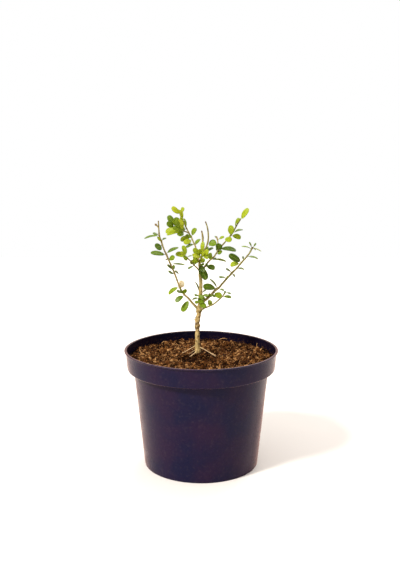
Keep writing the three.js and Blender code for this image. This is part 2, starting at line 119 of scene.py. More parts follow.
# A leaf at least this long gets the finer mesh. columns run from its edge at -1 to its midrib at 0.
LONG_LEAF = 13
SHORT_MESH = {"rows": 18, "columns": [-1, -0.97, -0.86, -0.66, -0.4, -0.2, -0.07, 0]}
LONG_MESH = {"rows": 26, "columns": [-1, -0.985, -0.93, -0.82, -0.66, -0.5, -0.35, -0.22, -0.12, -0.05, 0]}

# Wood. Each point is [x, z, depth behind the trunk's plane, thickness].
SHOOTS = {
    "trunk": [
        [-4.6, 138, 0, 4.4], [-4.8, 149, 0, 7.8], [-4.6, 156, 0, 7.6], [-5.0, 163, 0, 6.9],
        [-5.2, 171, 0, 6.2], [-5.2, 180, 0, 6.0], [-5.0, 187, 0, 4.9], [-5.0, 192, 0, 6.3],
        [-5.2, 196, 0, 5.7], [-5.1, 200, 0, 6.6], [-3.9, 205, 0, 5.8], [-2.9, 210, 0, 5.7],
        [-2.7, 214, 0, 5.8], [-2.4, 219, 0, 4.5],
    ],
    "leader": [
        [-2.9, 213, 0, 4.4], [-2.0, 221, -1, 3.9], [-1.4, 228, -2, 3.7], [-1.0, 236, -3, 3.6],
        [-0.8, 243, -3, 3.8], [-0.5, 250, -3, 3.3], [-0.8, 256, -2, 3.3], [-1.5, 262, -1, 3.1],
        [-1.6, 270, 0, 2.8], [-2.2, 278, 1, 2.5], [-2.4, 283, 2, 2.2],
    ],
    "left_branch": [
        [-3.2, 211, 0, 3.2], [-6.0, 217, -1, 3.0], [-8.5, 220, -2, 2.7], [-13, 225, -4, 2.3],
        [-17, 230, -6, 2.1], [-22, 234.6, -8, 2.0], [-26, 239.5, -10, 1.9], [-28.8, 245, -12, 2.1],
        [-30.9, 250, -13, 1.8], [-32.6, 255, -14, 1.8], [-34.4, 260, -16, 1.9], [-36.2, 265, -17, 1.7],
        [-38.2, 270, -19, 1.7], [-40.5, 275, -20, 1.8], [-42.6, 280, -21, 1.7], [-45, 285.5, -23, 1.6],
        [-47, 290.5, -24, 1.8], [-49.3, 295.5, -25, 1.5], [-51, 300, -26, 1.5], [-52.6, 304.5, -27, 1.6],
        [-53.8, 309, -28, 1.6], [-55.3, 313, -28, 1.3], [-56.5, 318, -29, 1.4], [-57, 325, -30, 1.2],
        [-57.3, 331, -30, 1.3], [-57.5, 337, -30, 0.8],
    ],
    "left_bud": [
        [-57, 327, -30, 1.1], [-59.2, 329.4, -31, 1.2], [-61.2, 331.4, -32, 2.2], [-62.4, 332.6, -32, 1.8],
    ],
    "side_twig": [
        [-1.7, 267, 0, 1.4], [-5.5, 272.2, -5, 1.3], [-9.5, 276, -9, 1.2], [-12, 279.5, -12, 1.2],
        [-15, 282.5, -15, 1.1], [-18, 285, -18, 1.1], [-21, 288.5, -20, 0.9],
    ],
    "crown_left": [
        [-2.2, 279, 1, 1.9], [-4.0, 288, 4, 1.8], [-6.0, 296, 7, 1.7], [-8.3, 303, 10, 1.7],
        [-11.5, 310, 13, 1.6], [-13.5, 315, 15, 1.6], [-16, 319, 17, 1.5], [-18, 323, 19, 1.5],
        [-20.5, 328, 21, 1.4], [-23, 334, 23, 1.3], [-26, 340, 25, 1.2], [-27.5, 345.5, 27, 0.9],
    ],
    "crown_spur": [
        [-16.6, 320, 18, 1.2], [-24, 323, 13, 1.2], [-30, 325.5, 9, 1.1], [-36, 329.5, 5, 0.9],
    ],
    "tall_twig": [
        [-2.4, 280, 2, 1.6], [0.4, 287, 0, 1.5], [2.6, 292, -1, 1.4], [5.0, 297.5, -2, 1.4],
        [7.4, 302.5, -3, 1.4], [9.0, 308, -4, 1.4], [9.6, 315, -5, 1.3], [9.2, 322, -5, 1.3],
        [8.4, 327, -6, 1.2], [7.0, 332, -6, 1.1], [5.5, 336, -7, 0.7],
    ],
    "bare_twig": [
        [-2.2, 280, 2, 1.3], [0.6, 288, 7, 1.2], [1.8, 298, 11, 1.1], [2.0, 306, 13, 1],
        [2.2, 313, 15, 1.5], [1.5, 319, 16, 1.1], [0.3, 323.5, 16, 0.7],
    ],
    "crown_right": [
        [-1.2, 262, 0, 1.8], [3.5, 271.5, 2, 1.8], [8.5, 279.3, 0, 1.7], [12.6, 283.6, -3, 1.6],
        [16.9, 287.2, -6, 1.7], [20.2, 292, -9, 1.5], [23.3, 297, -12, 1.6], [26.8, 301.5, -14, 1.4],
        [30.3, 305.5, -16, 1.4], [34, 309.9, -18, 1.3], [37, 313.5, -20, 1.3], [40, 317.1, -21, 1.3],
        [43.6, 322, -23, 1.2], [45.6, 326.2, -24, 1.1], [48, 330.6, -25, 1.1], [51, 335.4, -27, 1],
        [53, 339, -28, 0.8],
    ],
    "stub_twig": [
        [22.4, 296, -11, 1.2], [23, 302, -8, 1.2], [22.4, 308, -6, 1.1], [21.8, 312, -5, 1.3],
        [20.4, 316, -4, 0.7],
    ],
    "long_right": [
        [-1.9, 222, -1, 2.3], [3.0, 226.1, 2, 2.2], [7.0, 229.2, 5, 2], [10.4, 232, 8, 1.9],
        [13.8, 235.4, 11, 1.8], [17, 239.2, 13, 1.9], [20.2, 242.6, 15, 2.1], [23.9, 245, 17, 1.8],
        [27.7, 249.4, 20, 1.6], [31.8, 254.2, 23, 1.6], [35.6, 258.7, 26, 1.6], [38.9, 262.2, 28, 1.5],
        [42, 265.8, 30, 1.7], [46.2, 269.9, 32, 1.3], [48.9, 272.7, 33, 1.5], [51.6, 276, 34, 1.3],
        [54.2, 279.2, 35, 1.4], [56.6, 282, 36, 1.2], [59.1, 284.6, 37, 1.2], [61, 287, 38, 1.2],
        [62.7, 289.2, 39, 1.2], [65, 292.1, 40, 1.1], [66.8, 295.4, 41, 1.4], [68.6, 298.8, 42, 1.1],
        [70.5, 301.2, 42, 0.8],
    ],
    "low_right": [
        [-2.6, 212.5, -1, 1.6], [2.0, 215.4, -6, 1.4], [6.0, 217.5, -10, 1.2], [11, 219.5, -14, 1.1],
        [15.7, 221.6, -17, 1.1], [20, 224.7, -20, 1], [24, 228.2, -23, 1.1], [27.8, 231.9, -26, 1],
        [30.4, 235, -28, 1], [33.1, 239.5, -30, 0.8],
    ],
    "knob_stub": [
        [-5.4, 199, 0, 2.4], [-7.6, 200.4, -1, 1.8], [-9.6, 201, -2, 1.2],
    ],
    "root_back_left": [
        [-4.8, 166, 0, 2.4], [-8.8, 163.2, 2, 1.8], [-13, 160.6, 4, 1.5], [-18, 157.6, 7, 1.4],
        [-25, 153.6, 8, 1.2], [-32, 150.3, 8, 0.9],
    ],
    "root_front_left": [
        [-4.8, 160, -1, 2.2], [-6.8, 155.8, -5, 1.7], [-9.6, 152.8, -9, 1.5], [-13, 150, -13, 1.5],
        [-17, 146.6, -17, 1.4], [-20.6, 143.4, -22, 1.2], [-23, 140.6, -25, 0.9],
    ],
    "root_left": [
        [-5.4, 160, 0, 1.6], [-9.4, 157, -1, 1.0], [-14, 153.6, -2, 0.8], [-18.4, 150.2, -3, 0.6],
    ],
    "root_right": [
        [-4.4, 163, 0, 2.6], [-0.8, 161, -1, 1.8], [5, 158, -3, 1.5], [10, 155, -4, 1.4],
        [15, 151.8, -5, 1.3], [20.5, 148, -7, 1.0],
    ],
    "root_right_fork": [
        [11, 154.4, -4, 1.3], [16, 152.2, -2, 1.2], [20, 149.8, -1, 1.1], [22, 147, -1, 0.8],
    ],
    "root_back_right": [
        [-4.6, 160, 0, 2.6], [-1.4, 156.4, 6, 2.0], [3.0, 151.6, 14, 1.6], [6.0, 146.5, 20, 1.1],
    ],
}

# How much stouter a shoot is than its plain node
STOUTER = {
    "long_right": 1.4, "low_right": 1.3, "bare_twig": 1.5, "tall_twig": 1.1, "leader": 1.2,
    "crown_left": 0.85,
}

# How green the wood is at the foot and at the tip of each shoot: 0 is old straw-coloured bark, 1 a new
# green twig
WOOD_YOUTH = {
    "leader": [0.25, 0.75],
    "left_branch": [0.4, 0.7],
    "left_bud": [0.5, 0.3],
    "side_twig": [0.6, 0.95],
    "crown_left": [0.6, 0.9],
    "crown_spur": [0.7, 0.95],
    "tall_twig": [0.8, 0.85],
    "bare_twig": [0.75, 0.6],
    "crown_right": [0.65, 1.0],
    "stub_twig": [0.7, 0.3],
    "long_right": [0.65, 1.0],
    "low_right": [0.8, 0.95],
}

# Knots on the trunk: height, turn round it from the right-hand side in degrees, size and rise
TRUNK_KNOTS = [
    [188.5, 200, 2.2, 0.7], [186.0, 325, 2.2, 0.5], [190.0, 262, 1.8, 0.4], [191.5, 300, 2.4, 0.5],
    [193.0, 10, 1.8, 0.7], [191.5, 190, 2.8, 0.9], [195.5, 240, 2.6, 0.5], [197.0, 285, 1.6, 0.4],
    [199.5, 330, 2.3, 0.8], [203.5, 200, 1.9, 0.6], [205.0, 300, 1.7, 0.4], [206.0, 20, 1.9, 0.6],
    [211.5, 175, 2.2, 1.1], [212.0, 280, 2.0, 0.6], [213.5, 345, 2.2, 0.9], [178.0, 290, 1.5, 0.25],
    [171.0, 250, 1.3, 0.2], [167.0, 310, 1.9, 0.3],
]

# Dark buds and ring scars on twigs: shoot, height, length and darkness
TWIG_KNOTS = [
    ["bare_twig", 313, 2.2, 0.95], ["bare_twig", 322, 1.5, 0.7], ["left_branch", 323, 1.6, 0.7],
    ["left_branch", 331, 2.0, 0.6], ["left_branch", 276, 1.5, 0.5], ["tall_twig", 334, 1.6, 0.5],
    ["stub_twig", 311, 1.6, 0.7], ["crown_left", 321, 2.4, 0.55],
]

# Tone of each leaf, from 0, a dark old leaf, to 1, a young yellow-green one
LEAF_TONES = {
    "left_branch": [0.45, 0.3, 0.55, 0.6, 0.15, 0.5, 0.3, 0.3, 0.15, 0.3],
    "side_twig": [0.7, 0.2, 0.6, 0.7, 0.85],
    "crown_left": [0.3, 0.45, 0.9, 0.75, 0.6, 0.6, 0.95, 1.0],
    "crown_spur": [0.4, 0.88, 0.55, 0.35, 0.3],
    "leader": [0.3, 0.35, 0.15, 0.6, 0.55, 0.2, 0.14, 0.02, 1.0],
    "tall_twig": [0.8, 0.85, 0.9],
    "crown_right": [0.25, 0.6, 0.12, 0.1, 0.2, 0.8, 0.7, 0.75, 0.85],
    "stub_twig": [0.45],
    "long_right": [0.3, 0.15, 0.66, 0.05, 0.8],
    "low_right": [0.6],
}

# Leaves whose form is finer than their plain nodes. By number: x, z where it leaves the shoot, x, z of the
# tip, and width.
FITTED_LEAVES = {
    "left_branch": {
        1: [-16.3, 228.3, -26.3, 212, 8.6], 2: [-23.3, 235.3, -34.8, 225.4, 7.6],
        4: [-30, 246.1, -44.5, 236.6, 7.4], 5: [-36.6, 265.6, -43.9, 266.4, 8],
        6: [-45, 285.1, -35.7, 286.1, 7.6], 7: [-47.3, 291.4, -68.3, 293, 10],
        8: [-46, 292.6, -31.1, 300.6, 9.2], 9: [-52.1, 304.2, -61, 299.2, 11.2],
        10: [-56.7, 316.6, -76.6, 312.6, 6.4],
    },
    "side_twig": {
        2: [-10, 276.3, -16.5, 270.9, 7], 3: [-17.9, 285.4, -24.2, 286.4, 7.4],
    },
    "crown_left": {
        2: [-7.9, 303.8, -2.6, 311.9, 8], 3: [-11.9, 311, -23, 305.8, 8.4],
        4: [-13.5, 315, -28, 310.4, 7.6], 5: [-13.7, 315.2, -7.5, 326.7, 6.6],
        8: [-26.9, 345.9, -39.2, 354.9, 7.4],
    },
    "crown_spur": {
        5: [-37.2, 329, -44.1, 343.6, 8.2],
    },
    "leader": {
        1: [-1.1, 234.9, -8.8, 234.1, 5.4], 2: [-0.6, 235.2, 9.9, 233.7, 6.2],
        4: [-1.7, 227.2, -8, 223.3, 5], 6: [-1.6, 240, -8.2, 253.3, 5], 7: [-1.4, 274.5, 6.9, 256, 9.6],
        8: [-1, 276.6, 4.1, 266.9, 6.4],
    },
    "crown_right": {
        1: [5.5, 275, 18.8, 272.5, 8.8], 2: [16, 287, 9.5, 289.8, 9], 3: [14.3, 285.1, 33.9, 281.6, 6.4],
        4: [23.4, 296.2, 25, 305.7, 9.6], 5: [27.1, 297.6, 47.2, 296.6, 9.4],
        7: [40.2, 316.6, 53.5, 313.5, 7.2], 8: [39.4, 317.1, 41.4, 330.1, 9],
        9: [52.8, 338.7, 63.3, 353.1, 7.4],
    },
    "stub_twig": {
        1: [22, 304.2, 10.7, 307.2, 10.8],
    },
    "long_right": {
        1: [20.6, 244.2, 2.6, 246.7, 10.4], 2: [22.7, 244, 11.2, 257.5, 6.6],
        3: [17.2, 238.8, 26.8, 231.4, 9.6], 4: [54.4, 280.3, 37.6, 290.5, 9.6],
        5: [52.8, 277.6, 39.6, 277, 9.8],
    },
    "low_right": {
        1: [29.1, 232.8, 41.1, 232.1, 5.6],
    },
}
# The same for the dry leaf on the left branch
WITHERED_LEAF = [-29.6, 242.2, -27, 255.3, 8]

# Small leaves at the twig tips. Each is [x, z where it leaves the shoot, x, z of its tip, reach, width, roll,
# tone]. Reach is how much farther from the viewer the tip lies than the stalk. Roll turns the upper face from
# facing the viewer at 0 to facing up at 90.
SMALL_LEAVES = {
    "left_branch": [
        [-44.2, 283.6, -47.6, 284.4, 6, 4.6, 40, 0.3], [-39.7, 278.3, -22, 276.6, 3, 5, 62, 0.35],
        [-25, 238.2, -33.4, 240.6, -3, 6.5, 60, 0.25], [-37, 266.5, -31, 265.6, 9, 7.4, 60, 0.15],
        [-39, 271.2, -46.2, 276.1, -7, 6.4, 60, 0.15], [-38.3, 271, -36.3, 276, -10, 4.5, 30, 0.3],
        [-28.5, 245, -27.5, 238.5, -9, 6.5, 60, 0.25], [-57, 318.5, -64.5, 318.5, -8, 6.5, 60, 0.25],
        [-54, 308.5, -59, 315, -4, 3.4, 20, 0.85], [-52.5, 310, -47.5, 313.5, 5, 5.2, 60, 0.25],
    ],
    "crown_left": [
        [-19.6, 326.9, -23.2, 339.6, -3, 3.4, 40, 0.72], [-26.8, 345.9, -24.3, 354.8, 5, 5.2, 15, 0.88],
        [-25.1, 338.4, -27.9, 350.9, -6, 5.6, 15, 1], [-23.3, 335, -27.8, 341.5, -5, 5, 20, 0.9],
        [-10.2, 305, -17.5, 304.3, -3, 5.2, 66, 0.15], [-16.8, 320.4, -20.6, 311.5, 3, 5.2, 20, 0.6],
        [-16.1, 319.3, -15.2, 313.1, -5, 5.4, 30, 0.5], [-19.5, 326, -28.5, 322.5, 8, 6.5, 30, 0.45],
        [-26.8, 345.9, -32, 351.3, 3, 5.6, 10, 0.95],
    ],
    "crown_spur": [
        [-29.7, 325.4, -35.1, 336, -12, 7, 15, 0.55], [-34, 328.2, -36.8, 338, -4, 7, 15, 0.62],
        [-25.5, 323.3, -29.2, 338.4, -8, 8.6, 8, 1], [-31, 326, -36.5, 339.6, 9, 7.6, 15, 0.65],
        [-23, 322.8, -38.2, 327, -15, 7.2, 30, 0.6], [-23.9, 322.2, -46.4, 317.2, -10, 5.8, 40, 0.85],
    ],
    "side_twig": [
        [-19, 287, -12.4, 289.4, 4, 3, 60, 0.4], [-10.3, 277.1, -14.7, 282.1, -4, 6, 30, 0.62],
        [-20.8, 288.2, -27.6, 294.5, -7, 4.6, 30, 0.9], [-12, 279.4, -8.6, 284.2, 5, 4.5, 40, 0.75],
    ],
    "leader": [
        [-2.3, 281.2, 5.4, 283.4, -7, 6, 20, 0.55], [-2.3, 282.1, -10.3, 285.8, -12, 9, 48, 1],
        [-2.4, 280.5, -9, 283, -9, 6.4, 20, 0.85], [-1.7, 277.1, 3.9, 276.8, -9, 5, 35, 0.2],
        [-2.1, 278.6, 2.6, 286, -6, 5.4, 25, 0.85], [-2, 276, -1.6, 263, -9, 4.5, 30, 0.1],
        [-0.8, 236.5, 0.5, 229.5, -12, 7, 20, 0.45], [-0.8, 238, 7, 242.5, 2, 5.2, 63, 0.15],
        [-1.3, 232.2, -0.1, 223, -10, 8, 15, 0.45],
    ],
    "tall_twig": [
        [1.5, 289, 10.4, 290.5, -5, 6, 25, 0.95], [0.6, 287.9, -11.4, 288.5, -14, 10, 52, 1],
        [5.2, 298.4, 9.9, 300.7, -4, 4.4, 60, 0.3], [3.2, 292.6, 16.3, 300, 5, 7, 60, 0.05],
        [2.2, 291, -3.4, 297.4, -8, 5.6, 25, 0.9], [2.4, 291.6, 8.4, 284.6, -10, 5.6, 30, 0.8],
        [0.6, 287.2, 3.6, 294.4, -9, 5, 30, 0.95],
    ],
    "crown_right": [
        [5.5, 275, 8.6, 277.9, -4, 5, 10, 0.3], [21.2, 291.9, 28.3, 295.2, -6, 6, 35, 0.5],
        [43, 321.5, 56, 324.5, 4, 6.2, 63, 0.35], [45.6, 327.9, 50.3, 340.4, -6, 4.4, 60, 0.65],
        [47.1, 330.7, 52.2, 340, 6, 6.2, 50, 0.65], [15.9, 287.5, 12.2, 283.9, 6, 4.5, 60, 0.05],
        [23.4, 295.9, 26.6, 292.2, 4, 4, 30, 0.6], [26.3, 301.3, 20.8, 296.2, 4, 6, 15, 0.12],
        [14.4, 284.8, 20.3, 285.3, -4, 5, 60, 0.03],
    ],
    "stub_twig": [
        [22.7, 311.1, 31, 314.8, -3, 5.4, 50, 0.7], [21.6, 312.4, 18.6, 316, 3, 3.4, 60, 0.45],
    ],
    "long_right": [
        [10.5, 232.2, 5, 234, -5, 4.6, 30, 0.45], [15.5, 237.4, 18.1, 231.7, -8, 4.6, 40, 0.2],
        [69.8, 299.9, 81.4, 294.9, 3, 3, 62, 0.95], [9, 231.5, 12.5, 237, -6, 4, 30, 0.55],
        [10.5, 232.3, 15.5, 233.8, -8, 3.4, 40, 0.3], [8.4, 230.2, 13.4, 220.8, -5, 6.6, 165, 0.78],
        [34, 259, 24.3, 259.6, -3, 6.5, 63, 0.35], [33.5, 257.5, 36.5, 261, -4, 3, 30, 0.8],
        [41.2, 265.3, 46.3, 260.4, 3, 6, 61, 0.25], [41, 266.5, 33.3, 270.8, -4, 6.2, 63, 0.1],
        [48.8, 272.6, 58.2, 270.7, 4, 6.5, 63, 0.25], [57, 282.5, 56, 288.3, -8, 3, 40, 0.3],
        [62.3, 289.3, 77.2, 284.4, 3, 7.2, 68, 0.3], [68.4, 299.6, 64.7, 307.8, -4, 3.6, 60, 0.4],
        [68.1, 298.9, 54.6, 301.8, -6, 3.2, 62, 0.6], [70.3, 301, 74.2, 306, -3, 4.9, 62, 0.25],
        [70, 300.6, 73.6, 297.4, 3, 3.6, 50, 0.3], [1.5, 224.7, -4.5, 229.4, -9, 6, 20, 0.5],
        [6.6, 228.4, 0.4, 231.5, -8, 5.4, 30, 0.35],
    ],
    "low_right": [
        [31.5, 236, 33.5, 240.5, -5, 3.2, 30, 0.15], [33, 239, 25.8, 243.6, 4, 6.2, 61, 0.25],
        [33.1, 239.9, 40.4, 236.3, -4, 5, 61, 0.15],
    ],
}

# Rootlets that stand up out of the soil: depth, then [x, z, radius] along each, as seen by the viewer
STRAY_ROOTLETS = [
    [2, [-80.5, 149.9, 0.8], [-82.7, 154.2, 0.7], [-84.8, 157.9, 0.6], [-83.9, 163, 0.45]],
    [44, [78, 161, 0.7], [76.8, 165.4, 0.6], [77.1, 170.1, 0.45]],
    [83, [24.2, 169.4, 0.5], [27.4, 171.4, 0.45], [31.4, 172, 0.4], [35.6, 171.2, 0.3]],
    [68, [-55.4, 166.1, 0.5], [-53.2, 168.4, 0.45], [-50.4, 169.6, 0.4], [-47.6, 169.4, 0.3]],
]

# Loose bits on the soil. levels is how finely each is made, sizes its half length from and to, shape how
# long, wide and thick it is, tilt how far it leans, in radians, tints how pale it gets, sink how deep it is.
LOOSE_BITS = {
    "soil_clods": {
        "count": 1500, "levels": 2, "sizes": [1.0, 3.0], "shape": [1.2, 0.85, 0.75],
        "tilt": 0.7, "tints": [0.1, 1.8], "sink": 0.2, "seed": 11,
    },
    "soil_grains": {
        "count": 4600, "levels": 1, "sizes": [0.5, 1.3], "shape": [1.5, 0.8, 0.6],
        "tilt": 0.8, "tints": [0.1, 2.4], "sink": 0.0, "seed": 12,
    },
    "bark_chips": {
        "count": 700, "levels": 2, "sizes": [0.9, 2.8], "shape": [1.6, 0.38, 0.26],
        "tilt": 0.7, "tints": [0.3, 2.6], "sink": -0.1, "seed": 13,
    },
    "soil_lumps": {
        "count": 220, "levels": 2, "sizes": [2.4, 4.4], "shape": [1.2, 0.85, 0.7],
        "tilt": 0.8, "tints": [0.2, 1.4], "sink": 0.3, "seed": 15,
    },
}
FIBRES = {
    "count": 2300, "lengths": [3, 11], "radii": [0.12, 0.4], "rise": 0.5, "steps": 7, "sides": 4, "seed": 14,
}


def unit(vector):
    return vector / np.linalg.norm(vector)


def square_to(axis, vector):
    """The part of a vector that is square to an axis, made one long."""
    return unit(vector - axis * (vector @ axis))


def bell(distance, size):
    """1 at no distance, and almost nothing at twice the size."""
    return np.exp(-((distance / size) ** 2))


def gaps_to(points, spot):
    return np.linalg.norm(points - spot, axis=1)


def full_turn(count):
    """Angles evenly round a circle."""
    return np.linspace(0, math.tau, count, endpoint=False)


def seen(x, z, depth):
    """Point that looks to be at x, z in the plane through the trunk, and lies depth behind that plane."""
    in_plane = np.array([x, TRUNK_Y, z], float)
    sight = in_plane - VIEWER
    return in_plane + sight * (depth / sight[1])


def looks_at(points):
    """Where points look to be, as x and z in the plane through the trunk."""
    sight = points - VIEWER
    flat = VIEWER + sight * ((TRUNK_Y - VIEWER[1]) / sight[..., 1])[..., None]
    return flat[..., [0, 2]]


def spline(knots):
    """Rows AXIS_STEP apart along a smooth curve through knots. Columns after the third are carried along."""
    knots = np.array(knots, float)
    row = np.vstack([2 * knots[0] - knots[1], knots, 2 * knots[-1] - knots[-2]])
    t = np.linspace(0, 1, 24, endpoint=False)[:, None]
    stretches = []
    for a, b, c, d in zip(row, row[1:], row[2:], row[3:]):
        bend = a - 2.5 * b + 2 * c - 0.5 * d
        twist = 1.5 * (b - c) + 0.5 * (d - a)
        stretches.append(b + t * (c - a) / 2 + t**2 * bend + t**3 * twist)
    fine = np.vstack([*stretches, knots[-1:]])
    travelled = np.concatenate([[0], np.cumsum(np.linalg.norm(np.diff(fine[:, :3], axis=0), axis=1))])
    at = np.linspace(0, travelled[-1], max(4, round(travelled[-1] / AXIS_STEP) + 1))
    return np.stack([np.interp(at, travelled, column) for column in fine.T], axis=1)


def directions_along(path):
    """Unit vectors along a path, and two square to it that don't turn about it."""
    ahead = np.gradient(path, axis=0)
    ahead /= np.linalg.norm(ahead, axis=1)[:, None]
    side = np.cross(ahead[0], [0.3, 1, 0.2])
    sides = []
    for way in ahead:
        side = square_to(way, side)
        sides.append(side)
    sides = np.array(sides)
    return ahead, sides, np.cross(ahead, sides)


def loft(rings):
    """Faces of the closed skin over rings, which run anticlockwise seen from the last ring."""
    rows, turns = len(rings), len(rings[0])
    here = np.arange(rows * turns).reshape(rows, turns)
    after = np.roll(here, -1, axis=1)
    skin = np.stack([here[:-1], after[:-1], after[1:], here[1:]], axis=-1).reshape(-1, 4)
    return [*skin.tolist(), here[0, ::-1].tolist(), here[-1].tolist()]


def tube(path, radii, turns):
    """Vertices and faces of a closed round tube, with a radius for each ring."""
    _, side, up = directions_along(path)
    angle = full_turn(turns)[None, :, None]
    rim = np.cos(angle) * side[:, None] + np.sin(angle) * up[:, None]
    rings = path[:, None] + np.asarray(radii)[:, None, None] * rim
    return rings.reshape(-1, 3), loft(rings)


def placed(name, data):
    """A mesh, a lamp or a camera as an object in the scene."""
    made = bpy.data.objects.new(name, data)
    bpy.context.scene.collection.objects.link(made)
    return made


def new_object(name, vertices, faces):
    """A mesh in the scene, from vertices in millimetres."""
    mesh = bpy.data.meshes.new(name)
    mesh.from_pydata((np.asarray(vertices) * MM).tolist(), [], faces)
    return placed(name, mesh)


def finish_piece(piece, material, slot, replaced=None):
    """Smooth shading, finish and body of a piece, and hides the node it stands for. slot is not used."""
    piece.data.shade_smooth()
    piece.data.materials.clear()
    piece.data.materials.append(material)
    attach(piece, BODY)
    if replaced:
        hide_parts(replaced)


def note(piece, name, values):
    """Stores a number or a vector for each vertex under a name that a material reads."""
    values = np.asarray(values, np.float32)
    vector = values.ndim == 2
    layer = piece.data.attributes.new(name, "FLOAT_VECTOR" if vector else "FLOAT", "POINT")
    layer.data.foreach_set("vector" if vector else "value", values.ravel())


def per_vertex(mesh, key):
    """A vector of each vertex: co for its place, in metres, or normal."""
    rows = np.empty(len(mesh.vertices) * 3, np.float32)
    mesh.vertices.foreach_get(key, rows)
    return rows.reshape(-1, 3)


def places_of(mesh):
    """The mesh's vertices in millimetres."""
    return per_vertex(mesh, "co").astype(float) / MM


def ripple(points, scale, seed=0.0):
    """Smooth noise from about -1 to 1 at each point. scale is the size of its waves."""
    spots = np.asarray(points) / scale + seed
    return np.array([noise.noise(spot) for spot in spots.tolist()]) * 1.6


def combined(target, cutters, operation):
    """Joins solids to target, or cuts them from it, and removes them."""
    group = bpy.data.collections.new("cutters")
    for cutter in cutters:
        group.objects.link(cutter)
    change = target.modifiers.new("combine", "BOOLEAN")
    change.operation = operation
    change.solver = "MANIFOLD"
    change.operand_type = "COLLECTION"
    change.collection = group
    shapes = bpy.context.evaluated_depsgraph_get()
    mesh = bpy.data.meshes.new_from_object(target.evaluated_get(shapes))
    target.modifiers.clear()
    old = target.data
    target.data = mesh
    bpy.data.meshes.remove(old)
    for cutter in cutters:
        bpy.data.meshes.remove(cutter.data)
    bpy.data.collections.remove(group)


# Shader nodes


def colour(red, green, blue):
    """A colour given as seen on screen, 0 to 255, as Blender's linear light."""
    shares = [c / 255 for c in (red, green, blue)]
    return (*[s / 12.92 if s < 0.04045 else ((s + 0.055) / 1.055) ** 2.4 for s in shares], 1.0)


class Nodes:
    """Adds nodes to a shader tree."""

    def __init__(self, tree):
        self.tree = tree

    def put(self, node, inputs):
        """Fills a node's inputs. Each gets a value, or the socket that feeds it."""
        for key, value in inputs.items():
            if isinstance(value, bpy.types.NodeSocket):
                self.tree.links.new(value, node.inputs[key])
            else:
                node.inputs[key].default_value = value

    def add(self, kind, inputs, **settings):
        node = self.tree.nodes.new("ShaderNode" + kind)
        for key, value in settings.items():
            setattr(node, key, value)
        self.put(node, inputs)
        return node

    def maths(self, operation, first, second):
        return self.add("Math", {0: first, 1: second}, operation=operation).outputs[0]

    def times(self, first, second):
        return self.maths("MULTIPLY", first, second)

    def plus(self, first, second):
        return self.maths("ADD", first, second)

    def minus(self, first, second):
        return self.maths("SUBTRACT", first, second)

    def between(self, value, low, high, to_low=0.0, to_high=1.0):
        """The value's place between low and high, eased at both ends."""
        inputs = {"Value": value, "From Min": low, "From Max": high, "To Min": to_low, "To Max": to_high}
        return self.add("MapRange", inputs, interpolation_type="SMOOTHSTEP").outputs[0]

    def blend(self, share, first, second):
        return self.add("Mix", {0: share, 6: first, 7: second}, data_type="RGBA").outputs[2]

    def coat(self, body, mask, share, shade):
        """The body's colour with a shade over it, as strong as the share where the mask is 1."""
        return self.blend(self.times(mask, share), body, shade)

    def shades(self, value, stops):
        """Colour ramp. stops holds the colour at each place."""
        ramp = self.add("ValToRGB", {"Fac": value})
        while len(ramp.color_ramp.elements) < len(stops):
            ramp.color_ramp.elements.new(0.5)
        for element, (place, shade) in zip(ramp.color_ramp.elements, stops.items()):
            element.position = place
            element.color = shade
        return ramp.outputs["Color"]

    def noted(self, name, output="Fac"):
        return self.add("Attribute", {}, attribute_name=name).outputs[output]

    def parts(self, vector):
        """A vector's x, y and z."""
        return self.add("SeparateXYZ", {0: vector}).outputs

    def stretched(self, where, scale, turn=(0.0, 0.0, 0.0)):
        return self.add("Mapping", {"Vector": where, "Scale": scale, "Rotation": turn}).outputs[0]

    def noise(self, where, scale, detail=2.0, roughness=0.5):
        inputs = {"Vector": where, "Scale": scale, "Detail": detail, "Roughness": roughness}
        return self.add("TexNoise", inputs).outputs[0]

    def mottle(self, where, scale, low=0.4, high=0.6):
        inputs = {"Where": where, "Scale": scale, "Low": low, "High": high}
        return self.add("Group", inputs, node_tree=MOTTLE).outputs["Patches"]

    def flecks(self, where, scale, size):
        """Scattered round flecks."""
        cells = self.add("TexVoronoi", {"Vector": where, "Scale": scale}).outputs
        fleck = self.between(cells["Distance"], size, 0.0)
        luck = self.add("SeparateColor", {0: cells["Color"]}).outputs[0]
        return self.times(fleck, self.maths("GREATER_THAN", luck, 0.55))


def shader_group(name, inputs, build):
    """A node group. inputs holds each value, or None for a vector. build makes the outputs."""
    tree = bpy.data.node_groups.new(name, "ShaderNodeTree")
    nodes = Nodes(tree)
    for socket, value in inputs.items():
        kind = "NodeSocketVector" if value is None else "NodeSocketFloat"
        made = tree.interface.new_socket(socket, in_out="INPUT", socket_type=kind)
        if value is not None:
            made.default_value = value
    outputs = build(nodes, tree.nodes.new("NodeGroupInput").outputs)
    for socket in outputs:
        tree.interface.new_socket(socket, in_out="OUTPUT", socket_type="NodeSocketFloat")
    nodes.put(tree.nodes.new("NodeGroupOutput"), outputs)
    return tree


def mottle_group(nodes, given):
    """Soft patches of any size, with a chosen edge."""
    clouds = nodes.noise(given["Where"], given["Scale"], 5.0)
    return {"Patches": nodes.between(clouds, given["Low"], given["High"])}


def blade_group(nodes, given):
    """Midrib, rim and side veins. Blade holds the ways along and across a leaf, and the share to its edge."""
    along, across, edge = nodes.parts(given["Blade"])
    slanting = nodes.minus(along, nodes.times(across, given["Slant"]))
    veins = {"Vector": nodes.add("CombineXYZ", {0: slanting}).outputs[0], "Scale": given["Vein Scale"]}
    return {
        "Midrib": nodes.between(across, given["Rib Width"], given["Rib Core"]),
        "Rim": nodes.times(nodes.between(edge, given["Rim Start"], 1.0), 0.4),
        "Veins": nodes.add("TexWave", {**veins, "Distortion": given["Wobble"]}).outputs["Fac"],
    }


